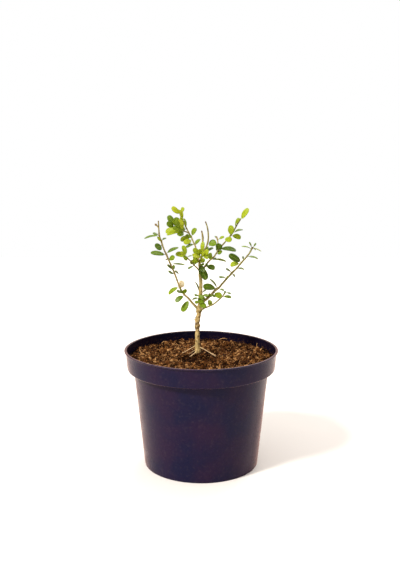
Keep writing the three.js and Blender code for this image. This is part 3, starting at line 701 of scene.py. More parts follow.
MOTTLE = shader_group("mottle", {"Where": None, "Scale": 100.0, "Low": 0.4, "High": 0.6}, mottle_group)
BLADE = shader_group("leaf blade", {
    "Blade": None, "Rib Width": 0.32, "Rib Core": 0.05, "Rim Start": 0.72,
    "Slant": 0.9, "Vein Scale": 0.62, "Wobble": 1.4,
}, blade_group)


class Finish(Nodes):
    """A material with a Principled surface, and where its texture lies."""

    def __init__(self, name):
        self.material = bpy.data.materials.new(name)
        self.material.use_nodes = True
        super().__init__(self.material.node_tree)
        self.tree.nodes.clear()
        self.surface = self.add("BsdfPrincipled", {})
        self.result = self.add("OutputMaterial", {"Surface": self.surface.outputs[0]})
        self.where = self.add("TexCoord", {}).outputs["Object"]

    def set(self, inputs):
        self.put(self.surface, inputs)

    def relief(self, height, depth, strength):
        """Bump of that depth, in millimetres."""
        bump = self.add("Bump", {"Height": height, "Distance": depth * MM, "Strength": strength})
        self.set({"Normal": bump.outputs[0]})

    def lit_through(self, shade, share):
        """Lets that share of the light shine through, in that colour."""
        through = self.add("BsdfTranslucent", {"Color": shade})
        mixer = self.add("MixShader", {0: share, 1: self.surface.outputs[0], 2: through.outputs[0]})
        self.put(self.result, {"Surface": mixer.outputs[0]})


def pot_plastic(name, bloom):
    """Dark plum plastic. bloom is how much warm haze it shows at a glancing angle."""
    finish = Finish(name)
    where = finish.where
    inside = finish.noted("inside")
    height = finish.parts(where)[2]
    body = finish.blend(finish.mottle(where, 22, 0.3, 0.7), colour(17, 19, 49), colour(35, 21, 48))
    # Painted shade: the inner wall is painted near-black, as the shade inside the pot
    body = finish.coat(body, inside, 0.6, colour(4, 4, 10))
    # The lip is painted paler: partly wear, partly a painted highlight along its rounded top
    on_lip = finish.between(height, (POT_HEIGHT - LIP_HEIGHT) * MM, (POT_HEIGHT - 0.2) * MM)
    lip_wear_and_highlight = finish.times(on_lip, finish.mottle(where, 160, 0.3, 0.6))
    body = finish.coat(body, lip_wear_and_highlight, 0.12, colour(130, 114, 108))
    dust = finish.mottle(where, 260, 0.52, 0.75)
    body = finish.coat(body, dust, 0.05, colour(128, 112, 102))
    near_soil = finish.times(inside, finish.between(height, (POT_HEIGHT - 4) * MM, (POT_HEIGHT - 12) * MM))
    splash = finish.times(near_soil, finish.mottle(where, 420, 0.54, 0.62))
    finish.set({
        "Base Color": finish.coat(body, splash, 0.6, colour(84, 54, 30)),
        "Roughness": finish.between(finish.mottle(where, 60, 0.35, 0.7), 0, 1, 0.2, 0.32),
        "IOR": 1.3,
        "Specular IOR Level": 0.25,
        "Specular Tint": (1.0, 0.84, 0.74, 1.0),
        "Sheen Weight": bloom,
        "Sheen Roughness": 0.3,
        "Sheen Tint": (1.0, 0.42, 0.28, 1.0),
    })
    finish.relief(finish.noise(where, 900.0, 3.0), 0.03, 0.5)
    return finish.material


def peat():
    finish = Finish("moist peat and bark crumbs")
    where = finish.where
    coarse = finish.noise(where, 420.0, 8.0, 0.7)
    # tint holds the soil's own paler and darker patches, and painted shade in the gaps, by the wall and under
    # the crumbs
    tone = finish.plus(finish.times(finish.noted("tint"), 0.55), finish.times(coarse, 0.5))
    body = finish.shades(tone, {
        0.2: colour(10, 4, 1),
        0.36: colour(34, 15, 5),
        0.54: colour(81, 46, 19),
        0.74: colour(131, 86, 44),
        1.0: colour(206, 158, 104),
    })
    pale = finish.flecks(where, 420, 0.34)
    damp = finish.mottle(where, 70, 0.42, 0.62)
    finish.set({
        "Base Color": finish.coat(body, pale, 0.45, colour(196, 146, 96)),
        "Roughness": finish.between(damp, 0, 1, 0.95, 0.72),
        "Specular IOR Level": 0.04,
    })
    matted = finish.noise(where, 900.0, 8.0, 0.72)
    hairs = finish.noise(finish.stretched(where, (1.0, 0.24, 0.6), (0.3, 0.5, 0.9)), 1900.0, 4.0)
    finish.relief(finish.plus(matted, finish.times(hairs, 0.6)), 1.1, 1.0)
    return finish.material


def bark():
    finish = Finish("boxwood bark")
    grain = finish.noted("grain", "Vector")
    along = finish.stretched(grain, (1.0, 1.0, 0.22))
    streak = finish.noise(along, 1.1, 6.0, 0.6)
    old = finish.shades(streak, {
        0.26: colour(100, 68, 28),
        0.4: colour(172, 138, 76),
        0.52: colour(214, 186, 120),
        0.72: colour(236, 216, 164),
    })
    patches = finish.times(finish.mottle(grain, 0.55, 0.5, 0.62), 0.25)
    dark = finish.maths("MAXIMUM", patches, finish.noted("scar"))
    old = finish.coat(old, dark, 0.9, colour(72, 44, 18))
    young = finish.shades(streak, {
        0.3: colour(76, 72, 22),
        0.5: colour(118, 113, 46),
        0.7: colour(162, 157, 88),
    })
    body = finish.blend(finish.noted("youth"), old, young)
    body = finish.blend(finish.noted("bare"), body, colour(232, 196, 150))
    body = finish.blend(finish.noted("dirt"), body, colour(96, 66, 40))
    finish.set({
        "Base Color": finish.blend(finish.noted("budding"), body, colour(104, 70, 34)),
        "Roughness": finish.between(streak, 0.3, 0.7, 0.85, 0.6),
        "Specular IOR Level": 0.35,
    })
    finish.relief(finish.noise(along, 3.2, 5.0), 0.16, 0.7)
    return finish.material


def leaf_skin(name, shine, glow_share):
    """Waxy leaf. shine is its roughness, from and to, and glow_share how much light comes through."""
    finish = Finish(name)
    blade = finish.add("Group", {"Blade": finish.noted("blade", "Vector")}, node_tree=BLADE).outputs
    patch = finish.times(finish.noise(finish.where, 260.0), 0.3)
    tone = finish.plus(finish.times(finish.noted("tone"), 0.85), finish.minus(patch, 0.08))
    body = finish.shades(tone, {
        0.0: colour(46, 70, 6),
        0.25: colour(80, 112, 10),
        0.5: colour(128, 158, 20),
        0.75: colour(178, 196, 36),
        1.0: colour(216, 220, 58),
    })
    body = finish.coat(body, blade["Midrib"], 0.5, colour(186, 190, 96))
    body = finish.coat(body, blade["Veins"], 0.09, colour(170, 186, 84))
    body = finish.blend(blade["Rim"], body, finish.blend(0.5, body, colour(56, 78, 8)))
    under = finish.noted("underside")
    body = finish.blend(under, body, finish.blend(0.5, body, colour(170, 182, 92)))
    finish.set({
        "Base Color": body,
        "Roughness": finish.plus(finish.between(patch, 0.08, 0.22, *shine), finish.times(under, 0.2)),
        "Specular IOR Level": 0.26,
    })
    finish.relief(finish.plus(finish.times(blade["Veins"], 0.5), finish.times(patch, 1.5)), 0.035, 0.5)
    finish.lit_through(finish.blend(0.35, body, colour(190, 200, 40)), glow_share)
    return finish.material


def dry_leaf_skin():
    finish = Finish("withered leaf")
    inputs = {
        "Blade": finish.noted("blade", "Vector"),
        "Rib Width": 0.3, "Rib Core": 0.04, "Rim Start": 0.8,
        "Slant": 1.0, "Vein Scale": 0.4, "Wobble": 1.2,
    }
    blade = finish.add("Group", inputs, node_tree=BLADE).outputs
    stain = finish.mottle(finish.where, 420, 0.42, 0.68)
    body = finish.blend(stain, colour(255, 250, 224), colour(250, 234, 196))
    body = finish.coat(body, blade["Midrib"], 0.4, colour(186, 156, 106))
    body = finish.blend(blade["Rim"], body, colour(206, 180, 132))
    finish.set({"Base Color": body, "Roughness": 0.8})
    finish.relief(blade["Veins"], 0.12, 0.8)
    finish.lit_through(body, 0.4)
    return finish.material


# Pot


def corner(radius, height, size, start, end, steps):
    """Points of a rounded corner of a profile, from one angle to another."""
    angles = np.radians(np.linspace(start, end, steps + 1))
    return [[radius + size * math.cos(a), height + size * math.sin(a)] for a in angles]


def pot_profile():
    """Radius and height round the pot's wall, from the middle of its underside out, up and in."""
    collar_foot = POT_HEIGHT - COLLAR_HEIGHT
    collar_flare = COLLAR_TOP_RADIUS - COLLAR_LOW_RADIUS
    lip_size = LIP_HEIGHT / 2
    floor = FOOT_HEIGHT + POT_WALL
    shelf = collar_foot + POT_WALL
    foot = BODY_LOW_RADIUS - FOOT_WIDTH
    collar_inside = COLLAR_TOP_RADIUS - POT_WALL
    underside = [
        [0, FOOT_HEIGHT - 0.6],
        *corner(NUB_RADIUS, FOOT_HEIGHT - 0.3, 0.3, -90, 0, 3),
        [NUB_RADIUS + 0.3, FOOT_HEIGHT],
        [GROOVE_RADIUS - 1, FOOT_HEIGHT],
        *corner(GROOVE_RADIUS, FOOT_HEIGHT - 0.5, 0.5, 180, 0, 6),
        [GROOVE_RADIUS + 1, FOOT_HEIGHT],
        [foot - 0.8, FOOT_HEIGHT],
        *corner(foot + 0.6, 0.6, 0.6, 180, 270, 4),
    ]
    outside = [
        *corner(BODY_LOW_RADIUS - 1, 1, 1, -90, 0, 5),
        *[[BODY_LOW_RADIUS + POT_TAPER * z, z] for z in np.linspace(6, collar_foot - 3, 24)],
        *corner(BODY_TOP_RADIUS + 0.9, collar_foot - 0.9, 0.9, 180, 90, 4),
        *corner(COLLAR_LOW_RADIUS - COLLAR_CORNER, collar_foot + COLLAR_CORNER, COLLAR_CORNER, -90, 0, 10),
        *[[COLLAR_LOW_RADIUS + collar_flare * s, collar_foot + COLLAR_HEIGHT * s]
          for s in np.linspace(0.2, 0.84, 6)],
        *corner(COLLAR_TOP_RADIUS + 0.5, POT_HEIGHT - LIP_HEIGHT - 0.5, 0.5, 180, 90, 4),
        *corner(LIP_RADIUS - lip_size, POT_HEIGHT - lip_size, lip_size, -80, 90, 14),
        *corner(collar_inside + 0.9, POT_HEIGHT - 0.9, 0.9, 90, 180, 6),
    ]
    inside = [
        [collar_inside - 0.3, POT_HEIGHT - 6],
        [collar_inside - 1.1, POT_HEIGHT - 14],
        [COLLAR_LOW_RADIUS - POT_WALL, shelf + 1.2],
        [COLLAR_LOW_RADIUS - POT_WALL - 1.2, shelf],
        [BODY_TOP_RADIUS + POT_TAPER * POT_WALL - POT_WALL, shelf],
        [BODY_LOW_RADIUS + POT_TAPER * floor - POT_WALL, floor],
        [0, floor],
    ]
    return np.array(underside + outside + inside)


def drain_drills():
    for turn in full_turn(DRAIN_COUNT) + math.pi / DRAIN_COUNT:
        middle = np.array([DRAIN_CIRCLE * math.cos(turn), DRAIN_CIRCLE * math.sin(turn), 0])
        line = middle + np.outer(np.linspace(-2, 8, 4), [0, 0, 1])
        yield new_object("drill", *tube(line, np.full(4, DRAIN_RADIUS), 40))


def make_pot():
    angle = full_turn(POT_SEGMENTS)
    rings = pot_profile()[1:-1]
    radius = rings[:, :1] * (1 + OUT_OF_ROUND * np.cos(2 * angle + 0.7))
    near_rim = np.clip((rings[:, 1:] - POT_HEIGHT + SWAY_DEPTH) / SWAY_DEPTH, 0, 1)
    height = rings[:, 1:] + RIM_SWAY * np.cos(3 * angle + 1) * near_rim
    places = np.stack([radius * np.cos(angle), radius * np.sin(angle), height], axis=-1)
    pot = new_object("pot", places.reshape(-1, 3), loft(places))
    combined(pot, list(drain_drills()), "DIFFERENCE")
    finish_piece(pot, pot_plastic("pot plastic outside", POT_BLOOM), "pot_plastic", "nursery_pot")
    pot.data.materials.append(pot_plastic("pot plastic inside", 0.0))
    places = places_of(pot.data)
    collar = [POT_HEIGHT - COLLAR_HEIGHT, POT_HEIGHT]
    wall = np.interp(places[:, 2], collar, [COLLAR_LOW_RADIUS, COLLAR_TOP_RADIUS]) - 0.7 * POT_WALL
    inside = (np.hypot(places[:, 0], places[:, 1]) < wall) & (places[:, 2] > collar[0])
    # inside marks the inner wall, where the material paints shade and splashed soil
    note(pot, "inside", inside)
    for face in pot.data.polygons:
        face.material_index = int(inside[list(face.vertices)].all())


# Layout of the plant. Each shoot's axis has rows of x, y, z and radius.

AXES = {
    name: spline([[*seen(x, z, depth), thickness / 2] for x, z, depth, thickness in knots])
    for name, knots in SHOOTS.items()
}


def is_root(name):
    return name.startswith("root")


def nearest_on(shoot, x, z):
    """The row of a shoot's axis that looks nearest to x, z, and its direction there."""
    axis = AXES[shoot]
    i = int(np.argmin(gaps_to(looks_at(axis[:, :3]), [x, z])))
    return axis[i], unit(np.gradient(axis[:, :3], axis=0)[i])


def seat_on(shoot, x, z, tip):
    """Where a leaf with that tip leaves a shoot: in the middle of the shoot, and on its bark."""
    (*stem, radius), along = nearest_on(shoot, x, z)
    stem = np.array(stem)
    return stem, stem + square_to(along, tip - stem) * (radius + STALK_WIDTH / 2)


def leaf_pose(stem, seat, tip, face, width):
    """How a leaf sits. face is its upper side's direction, square to the line from its seat to its tip."""
    side = np.cross(face, unit(tip - seat))
    return {"stem": stem, "seat": seat, "tip": tip, "side": side, "face": face, "width": width}


def leaf_by_sight(shoot, row):
    """Pose of a small leaf, from how it looks to the viewer."""
    x, z, tip_x, tip_z, reach, width, roll, _ = row
    depth = nearest_on(shoot, x, z)[0][1] - TRUNK_Y
    tip = seen(tip_x, tip_z, depth + reach)
    stem, seat = seat_on(shoot, x, z, tip)
    axis = unit(tip - seat)
    facing = square_to(axis, VIEWER - seat)
    upward = np.cross(facing, axis)
    upward *= 1 if upward[2] >= 0 else -1
    turn = math.radians(roll)
    return leaf_pose(stem, seat, tip, facing * math.cos(turn) + upward * math.sin(turn), width)


def leaf_by_node(node, shoot, fitted=None):
    """Pose of a leaf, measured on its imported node. fitted is a finer reading of its ends and width."""
    points = np.unique(np.round(places_of(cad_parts[node].data), 4), axis=0)
    way = np.linalg.svd(points - points.mean(0))[2][0]
    order = points[np.argsort(points @ way)]
    stems = np.vstack([axis[:, :3] for axis in AXES.values()])
    ends = [order[:4].mean(0), order[-4:].mean(0)]
    gaps = [gaps_to(stems, end).min() for end in ends]
    seat, tip = ends if gaps[0] < gaps[1] else ends[::-1]
    axis = unit(tip - seat)
    off = points - seat
    off = off - np.outer(off @ axis, axis)
    side = square_to(axis, np.linalg.svd(off - off.mean(0))[2][0])
    face = np.cross(axis, side)
    face *= 1 if off.mean(0) @ face >= 0 else -1
    stem = stems[np.argmin(gaps_to(stems, seat))]
    width = np.ptp(off @ side) * BLADE_SPREAD
    if fitted:
        x, z, tip_x, tip_z, width = fitted
        tip = seen(tip_x, tip_z, tip[1] - TRUNK_Y)
        stem, seat = seat_on(shoot, x, z, tip)
    return leaf_pose(stem, seat, tip, turned_to_viewer(seat, unit(tip - seat), face), width)


def turned_to_viewer(seat, axis, face):
    """The upper face of a leaf along axis. One seen from its edge turns until it shows LEAST_FACING."""
    face = square_to(axis, face)
    facing = square_to(axis, VIEWER - seat)
    share = face @ facing
    if abs(share) >= LEAST_FACING:
        return face
    across = np.cross(axis, facing)
    across *= 1 if across @ face > 0 else -1
    share = LEAST_FACING if share > 0 else -LEAST_FACING
    return facing * share + across * math.sqrt(1 - share**2)


def all_leaves():
    """Piece name, node or None, tone and pose of every green leaf."""
    leaves = []
    for shoot, tones in LEAF_TONES.items():
        fitted = FITTED_LEAVES.get(shoot, {})
        for i, tone in enumerate(tones, 1):
            node = f"{shoot}_leaf_{i:02d}"
            leaves.append((f"{shoot}_blade_{i:02d}", node, tone, leaf_by_node(node, shoot, fitted.get(i))))
    for shoot, rows in SMALL_LEAVES.items():
        for i, row in enumerate(rows, 1):
            leaves.append((f"{shoot}_small_blade_{i:02d}", None, row[-1], leaf_by_sight(shoot, row)))
    return leaves


# Leaves


def blade_outline(share):
    """Half width of a blade as a share of its greatest: a wedge, widest past the middle, with a round tip."""
    return share**0.56 * (1 - share) ** 0.4 / 0.52


def leaf_rows(pose, luck, dryness):
    """Vertices by row and column of a leaf from inside the stem to the tip, and what its material reads."""
    seat, tip, side, face = (pose[key] for key in ("seat", "tip", "side", "face"))
    length = np.linalg.norm(tip - seat)
    axis = (tip - seat) / length
    blade = length - STALK_LENGTH
    half = pose["width"] / 2
    bend = luck.uniform(-0.035, 0.035)
    twist = luck.uniform(-0.22, 0.22)
    arch = BLADE_ARCH + luck.uniform(-0.02, 0.02)
    fold = BLADE_FOLD + luck.uniform(-0.03, 0.07) + 0.35 * dryness
    wave = luck.uniform(0.01, 0.03) + 0.07 * dryness
    wave_shift = luck.uniform(0, 6)

    mesh = LONG_MESH if length >= LONG_LEAF else SHORT_MESH
    columns = np.array(mesh["columns"])
    v = np.concatenate([columns, -columns[-2::-1]])
    tops, bottoms, marks = [], [], []

    def row(middle, width, thickness, roundness, share):
        turn = twist * (share - 0.3)
        out = side * math.cos(turn) + face * math.sin(turn)
        up = face * math.cos(turn) - side * math.sin(turn)
        on_blade = share > 0
        depth = fold * width * np.abs(v) ** 1.4 - 0.12 * width * np.abs(v) ** 5 * on_blade
        depth = depth + wave * half * np.sin(9 * share + wave_shift + 2 * v) * v**2 * on_blade
        thick = thickness / 2 * np.sqrt(np.clip(1 - np.abs(v) ** roundness, 0, 1))
        rib = bell(v * width, 0.26) * max(0.0, 1 - share**1.5) * on_blade
        line = middle + np.outer(v * width, out)
        tops.append(line + np.outer(depth + thick + 0.05 * rib, up))
        bottoms.append(line + np.outer(depth - thick - 0.14 * rib, up))
        marks.append(np.stack([np.full_like(v, share * blade), np.abs(v) * width, np.abs(v)], axis=1))

    stalk_half = STALK_WIDTH * 0.42
    start = pose["stem"] + (seat - pose["stem"]) * 0.25
    foot = seat + axis * STALK_LENGTH
    for t in np.linspace(0, 1, 6, endpoint=False):
        spot = start * (1 - t) ** 2 + seat * 2 * t * (1 - t) + foot * t**2
        row(spot, stalk_half, 0.68, 2, 0)
    arch_at_foot = math.sin(math.pi * STALK_LENGTH / length)
    for share in (1 - np.cos(np.linspace(0, math.pi, mesh["rows"]))) / 2:
        distance = STALK_LENGTH + blade * share
        lift = arch * length * (math.sin(math.pi * distance / length) - arch_at_foot * (1 - share))
        middle = seat + axis * distance + face * lift + side * bend * length * math.sin(math.pi * share)
        outline = blade_outline(1 - share if dryness else share)
        width = max(half * outline, stalk_half * (1 - share) ** 3, 0.02)
        thickness = BLADE_THICKNESS * (0.55 + 0.45 * math.sin(math.pi * share) ** 0.5)
        thickness += 0.26 * (1 - share) ** 8
        row(middle, width, thickness, 2 + 5 * min(1, 6 * share), share)
    return np.array(tops), np.array(bottoms), np.array(marks)


def make_leaf(name, node, tone, pose, material, slot, luck, dryness=0.0):
    tops, bottoms, marks = leaf_rows(pose, luck, dryness)
    # Each ring runs along the underside, then back along the upper face, and shares the two edge vertices
    rings = np.concatenate([bottoms, tops[:, -2:0:-1]], axis=1)
    blade = np.concatenate([marks, marks[:, -2:0:-1]], axis=1)
    under = np.arange(rings.shape[1]) < bottoms.shape[1]
    leaf = new_object(name, rings.reshape(-1, 3), loft(rings))
    finish_piece(leaf, material, slot, node)
    note(leaf, "blade", blade.reshape(-1, 3))
    note(leaf, "underside", np.tile(under, len(rings)))
    note(leaf, "tone", np.full(rings.shape[0] * rings.shape[1], tone))


# Wood


def leaf_places(leaves):
    """For each shoot, the distances along it at which leaves sit."""
    found = {name: [] for name in AXES}
    for *_, pose in leaves:
        gaps = {name: gaps_to(axis[:, :3], pose["stem"]) for name, axis in AXES.items()}
        name = min(gaps, key=lambda shoot: gaps[shoot].min())
        found[name].append(AXIS_STEP * int(np.argmin(gaps[name])))
    return found


def limb(name, leaf_spots):
    """One shoot as a closed tube, with a collar where it leaves its parent and a swelling at each leaf."""
    axis = AXES[name]
    at = AXIS_STEP * np.arange(len(axis))
    if is_root(name):
        radius = axis[:, 3] * ROOT_SHRINK
    else:
        radius = axis[:, 3] * STOUTER.get(name, 1.0) + BARK * (name != "trunk")
    for spot in leaf_spots:
        radius += LEAF_SWELLING * bell(at - spot, 0.8)
    if name not in ("trunk", "knob_stub"):
        foot = 1.4 * axis[0, 3]
        radius *= 1 + 0.3 * np.exp(-np.clip(at - foot, 0, None) / foot)
    tip = at[-1] - at
    if not is_root(name):
        radius += 0.22 * bell(tip - BUD_LENGTH * 0.6, BUD_LENGTH * 0.35)
    radius *= np.clip(tip / (BUD_LENGTH * 0.6), 0.12, 1) ** 0.7
    turns = 44 if radius.max() > 2.4 else 22 if radius.max() > 1.2 else 14
    return new_object(name, *tube(axis[:, :3], radius, turns))


def search_tree(points):
    """Finds the nearest of these points, in metres."""
    tree = KDTree(len(points))
    for i, point in enumerate(points):
        tree.insert(point, i)
    tree.balance()
    return tree


def soften_joins(mesh, before):
    """Rounds the creases that joining made. before holds the vertices from before the join."""
    old = search_tree(before * MM)
    shape = bmesh.new()
    shape.from_mesh(mesh)
    creases = search_tree([v.co.copy() for v in shape.verts if old.find(v.co)[2] > 1e-6])

    def near_creases():
        return [v for v in shape.verts if creases.find(v.co)[2] < CREASE_REACH * MM]

    bmesh.ops.remove_doubles(shape, verts=near_creases(), dist=0.08 * MM)
    near = near_creases()
    every_way = {"use_axis_x": True, "use_axis_y": True, "use_axis_z": True}
    for _ in range(8):
        bmesh.ops.smooth_vert(shape, verts=near, factor=0.5, **every_way)
    shape.to_mesh(mesh)
    shape.free()


def straightened(places):
    """Each vertex as if its shoot were straight, the share of the way along it, and the shoot's number."""
    stations = []
    for number, axis in enumerate(AXES.values()):
        rows = axis[::2]
        count = len(rows)
        length = AXIS_STEP * (len(axis) - 1)
        share = np.linspace(0, 1, count)
        ways = np.hstack(directions_along(rows[:, :3]))
        stations.append(np.column_stack([rows, ways, share, share * length, np.full(count, number)]))
    stations = np.vstack(stations)
    grain, nearest = [], []
    # In blocks, because every vertex is held against every station
    for block in np.array_split(places, max(1, len(places) // 2000)):
        gap = np.linalg.norm(block[:, None] - stations[None, :, :3], axis=2) - stations[None, :, 3]
        at = stations[np.argmin(gap, axis=1)]
        ahead, side, up = (np.einsum("ij,ij->i", block - at[:, :3], at[:, i:i + 3]) for i in (4, 7, 10))
        grain.append(np.stack([side, up, at[:, 14] + ahead + SHOOT_APART * at[:, 15]], axis=1))
        nearest.append(at)
    nearest = np.vstack(nearest)
    return np.vstack(grain), nearest[:, 13], nearest[:, 15].astype(int)


def trunk_knots(places):
    """How far knots lift the bark at each vertex, and how much they darken it."""
    trunk = AXES["trunk"]
    rise, scar = np.zeros((2, len(places)))
    for height, turn, size, lift in TRUNK_KNOTS:
        core = trunk[np.argmin(np.abs(trunk[:, 2] - height))]
        angle = math.radians(turn)
        knot = core[:3] + core[3] * np.array([math.cos(angle), math.sin(angle), 0])
        near = bell(gaps_to(places, knot), size)
        rise += lift * near
        scar = np.maximum(scar, near)
    return rise, scar


def twig_scars(places, names, leaves):
    """How much leaf scars and dark buds darken the bark at each vertex."""
    leaf_gap = np.min([gaps_to(places, pose["stem"]) for *_, pose in leaves], axis=0)
    scar = 0.6 * bell(leaf_gap, 1.1)
    for name, height, length, darkness in TWIG_KNOTS:
        axis = AXES[name]
        spot = axis[np.argmin(np.abs(looks_at(axis[:, :3])[:, 1] - height)), :3]
        scar = np.maximum(scar, darkness * bell(gaps_to(places, spot), length) * (names == name))
    return scar


def make_wood(leaves):
    spots = leaf_places(leaves)
    limbs = [limb(name, spots[name]) for name in AXES]
    before = np.vstack([places_of(part.data) for part in limbs])
    wood = limbs[0]
    combined(wood, limbs[1:], "UNION")
    wood.name = "wood"
    soften_joins(wood.data, before)

    places = places_of(wood.data)
    grain, share, shoot = straightened(places)
    names = np.array(list(AXES))[shoot]
    girth = np.linalg.norm(grain[:, :2], axis=1)
    rise, scar = trunk_knots(places)
    for waves, depth, seed in BARK_WAVES:
        rise += ripple(grain, np.array(waves), seed) * depth * girth
    moved = places + per_vertex(wood.data, "normal") * rise[:, None]
    wood.data.vertices.foreach_set("co", (moved * MM).astype(np.float32).ravel())
    wood.data.update()

    youth = np.array([WOOD_YOUTH.get(name, [0.0, 0.0]) for name in AXES])[shoot]
    lengths = np.array([AXIS_STEP * (len(axis) - 1) for axis in AXES.values()])[shoot]
    from_tip = (1 - share) * lengths
    note(wood, "grain", grain)
    note(wood, "scar", np.maximum(scar, twig_scars(places, names, leaves)))
    note(wood, "youth", youth[:, 0] + (youth[:, 1] - youth[:, 0]) * share)
    note(wood, "budding", np.isin(names, list(WOOD_YOUTH)) * np.clip(1.3 - from_tip / BUD_LENGTH, 0, 0.8))
    note(wood, "bare", 0.85 * np.char.startswith(names, "root") * np.clip(share * 3, 0, 1))
    splashed = np.clip((DIRT_TOP - places[:, 2]) / 8, 0, 0.8)
    note(wood, "dirt", np.clip(splashed * (0.5 + 0.5 * ripple(places, 2.5, 1.7)), 0, 1))
    finish_piece(wood, bark(), "bark", "trunk_branches_and_roots")


# Soil


def soil_level(x, y):
    """Height of the soil without its crumbs."""
    mound = MOUND["height"] * np.exp(-((x - TRUNK_X) ** 2 + (y - TRUNK_Y) ** 2) / MOUND["spread"] ** 2)
    waves = np.sin(x / 9 + 1) * np.sin(y / 8) + 0.7 * np.sin(x / 5.3 + y / 6.7)
    return SOIL_LEVEL + mound - dip(HOLLOW, x, y) + waves


def dip(place, x, y):
    """A smooth oval dip, as deep as its depth in the middle."""
    across = ((x - place["x"]) / place["width"]) ** 2
    along = ((y - place["y"]) / place["length"]) ** 2
    return place["depth"] * np.exp(-(across + along))


def at_level(x, y, z=0.0):
    return np.stack([x, y, np.full_like(x, z)], axis=-1)


def clods(x, y, size, seed):
    """Rounded lumps of about that size, from 0 in the gaps to 1 on top."""
    gap = np.array([noise.voronoi(spot)[0][0] for spot in at_level(x / size, y / size, seed).tolist()])
    return np.sqrt(np.clip(1 - (gap / 0.72) ** 2, 0, 1))


def soil_rough(x, y):
    """Height of the crumbly surface, and how much of it is top rather than gap, which sets painted shade: the
    gaps are painted dark. It is less by the wall, where shade is painted too.
    """
    flat = at_level(x, y)
    broad = 1.2 * ripple(flat, 13.0) + 0.9 * ripple(flat, 6.0, 9.0)
    lumps = sum(rise * clods(x, y, size, seed) for rise, size, seed in SOIL_CLODS)
    height = soil_level(x, y) + broad + lumps - SOIL_DROP
    by_wall = np.clip((np.hypot(x, y) - WALL_SHADE["start"]) / WALL_SHADE["width"], 0, 1)
    tops = lumps / sum(rise for rise, _, _ in SOIL_CLODS) * (1 - WALL_SHADE["depth"] * by_wall)
    return np.minimum(height, under_roots(x, y)), tops


def under_roots(x, y):
    """The soil stays below this height, so that the bare parts of the roots lie free on top of it."""
    roots = np.vstack([axis for name, axis in AXES.items() if is_root(name)])
    roots = roots[roots[:, 2] > soil_level(roots[:, 0], roots[:, 1]) - 0.6]
    limit = np.full(len(x), np.inf)
    for root_x, root_y, root_z, radius in roots:
        beside = (x - root_x) ** 2 + (y - root_y) ** 2
        limit = np.minimum(limit, root_z - 0.3 * radius + beside / ROOT_CHANNEL)
    return limit


def soil_tint(x, y):
    """How pale the dry top of the soil is, from 0 to 1: darkest in the damp hollow in front of the trunk."""
    flat = at_level(x, y)
    patches = 0.22 * ripple(flat, 22.0, 4.0) + 0.15 * ripple(flat, 5.0, 8.0)
    return np.clip(0.5 + patches - dip(DAMP, x, y), 0, 1)


def disc_grid(count, radius):
    """A square grid squeezed into a disc: x and y, row by row."""
    line = np.linspace(-1, 1, count)
    a, b = np.meshgrid(line, line)
    wide = np.abs(a) > np.abs(b)
    far = np.where(wide, a, b)
    other = np.where(wide, b, a)
    turn = np.where(far == 0, 0, math.pi / 4 * other / np.where(far == 0, 1, far))
    x = np.where(wide, far * np.cos(turn), far * np.sin(turn))
    y = np.where(wide, far * np.sin(turn), far * np.cos(turn))
    return x.ravel() * radius, y.ravel() * radius


def make_soil(material):
    wall = POT_WALL + SOIL_GAP
    floor = FOOT_HEIGHT + wall
    shelf = POT_HEIGHT - COLLAR_HEIGHT + wall
    rise = (SOIL_LEVEL - shelf) / (COLLAR_HEIGHT - wall)
    top_radius = COLLAR_LOW_RADIUS + (COLLAR_TOP_RADIUS - COLLAR_LOW_RADIUS) * rise - wall
    count = SOIL_GRID
    x, y = disc_grid(count, top_radius)
    height, tops = soil_rough(x, y)
    top = np.stack([x, y, height], axis=1)
    index = np.arange(count * count).reshape(count, count)
    faces = np.stack([index[:-1, :-1], index[:-1, 1:], index[1:, 1:], index[1:, :-1]], axis=-1).reshape(-1, 4)
    border = np.concatenate([index[0, :-1], index[:-1, -1], index[-1, :0:-1], index[:0:-1, 0]])
    sections = [
        (COLLAR_LOW_RADIUS - wall, shelf),
        (BODY_TOP_RADIUS + POT_TAPER * wall - wall, shelf),
        (BODY_LOW_RADIUS + POT_TAPER * floor - wall, floor),
    ]
    vertices = [top]
    skirt = []
    last = border
    for radius, level in sections:
        ring = top[border] * (radius / top_radius)
        ring[:, 2] = level
        here = np.arange(len(border)) + sum(map(len, vertices))
        vertices.append(ring)
        skirt.append(np.stack([last, here, np.roll(here, -1), np.roll(last, -1)], axis=-1))
        last = here
    faces = [*faces.tolist(), *np.vstack(skirt).tolist(), last[::-1].tolist()]
    soil = new_object("soil", np.vstack(vertices), faces)
    finish_piece(soil, material, "potting_soil", "potting_soil")
    tint = np.zeros(len(soil.data.vertices))
    # Painted shade: the gaps between the lumps and the soil by the wall are darker
    tint[: len(tops)] = soil_tint(x, y) * 1.2 * tops**2.6
    note(soil, "tint", tint)


def ball(levels):
    """Unit vertices and faces of a round shape."""
    shape = bmesh.new()
    bmesh.ops.create_icosphere(shape, subdivisions=levels, radius=1)
    vertices = np.array([v.co[:] for v in shape.verts])
    faces = np.array([[v.index for v in face.verts] for face in shape.faces])
    shape.free()
    return vertices, faces


def turns_about(axis, angles):
    """Rotations about x, y or z, which are axis 0, 1 and 2."""
    a, b = (axis + 1) % 3, (axis + 2) % 3
    turns = np.tile(np.eye(3), (len(angles), 1, 1))
    turns[:, a, a] = turns[:, b, b] = np.cos(angles)
    turns[:, b, a] = np.sin(angles)
    turns[:, a, b] = -np.sin(angles)
    return turns


def random_turns(count, luck, tilt):
    """Rotations about a random heading, tilted out of level by about that angle in radians."""
    heading = luck.uniform(0, math.tau, count)
    pitch = luck.normal(0, tilt, count)
    roll = luck.normal(0, tilt, count)
    return turns_about(2, heading) @ turns_about(1, pitch) @ turns_about(0, roll)


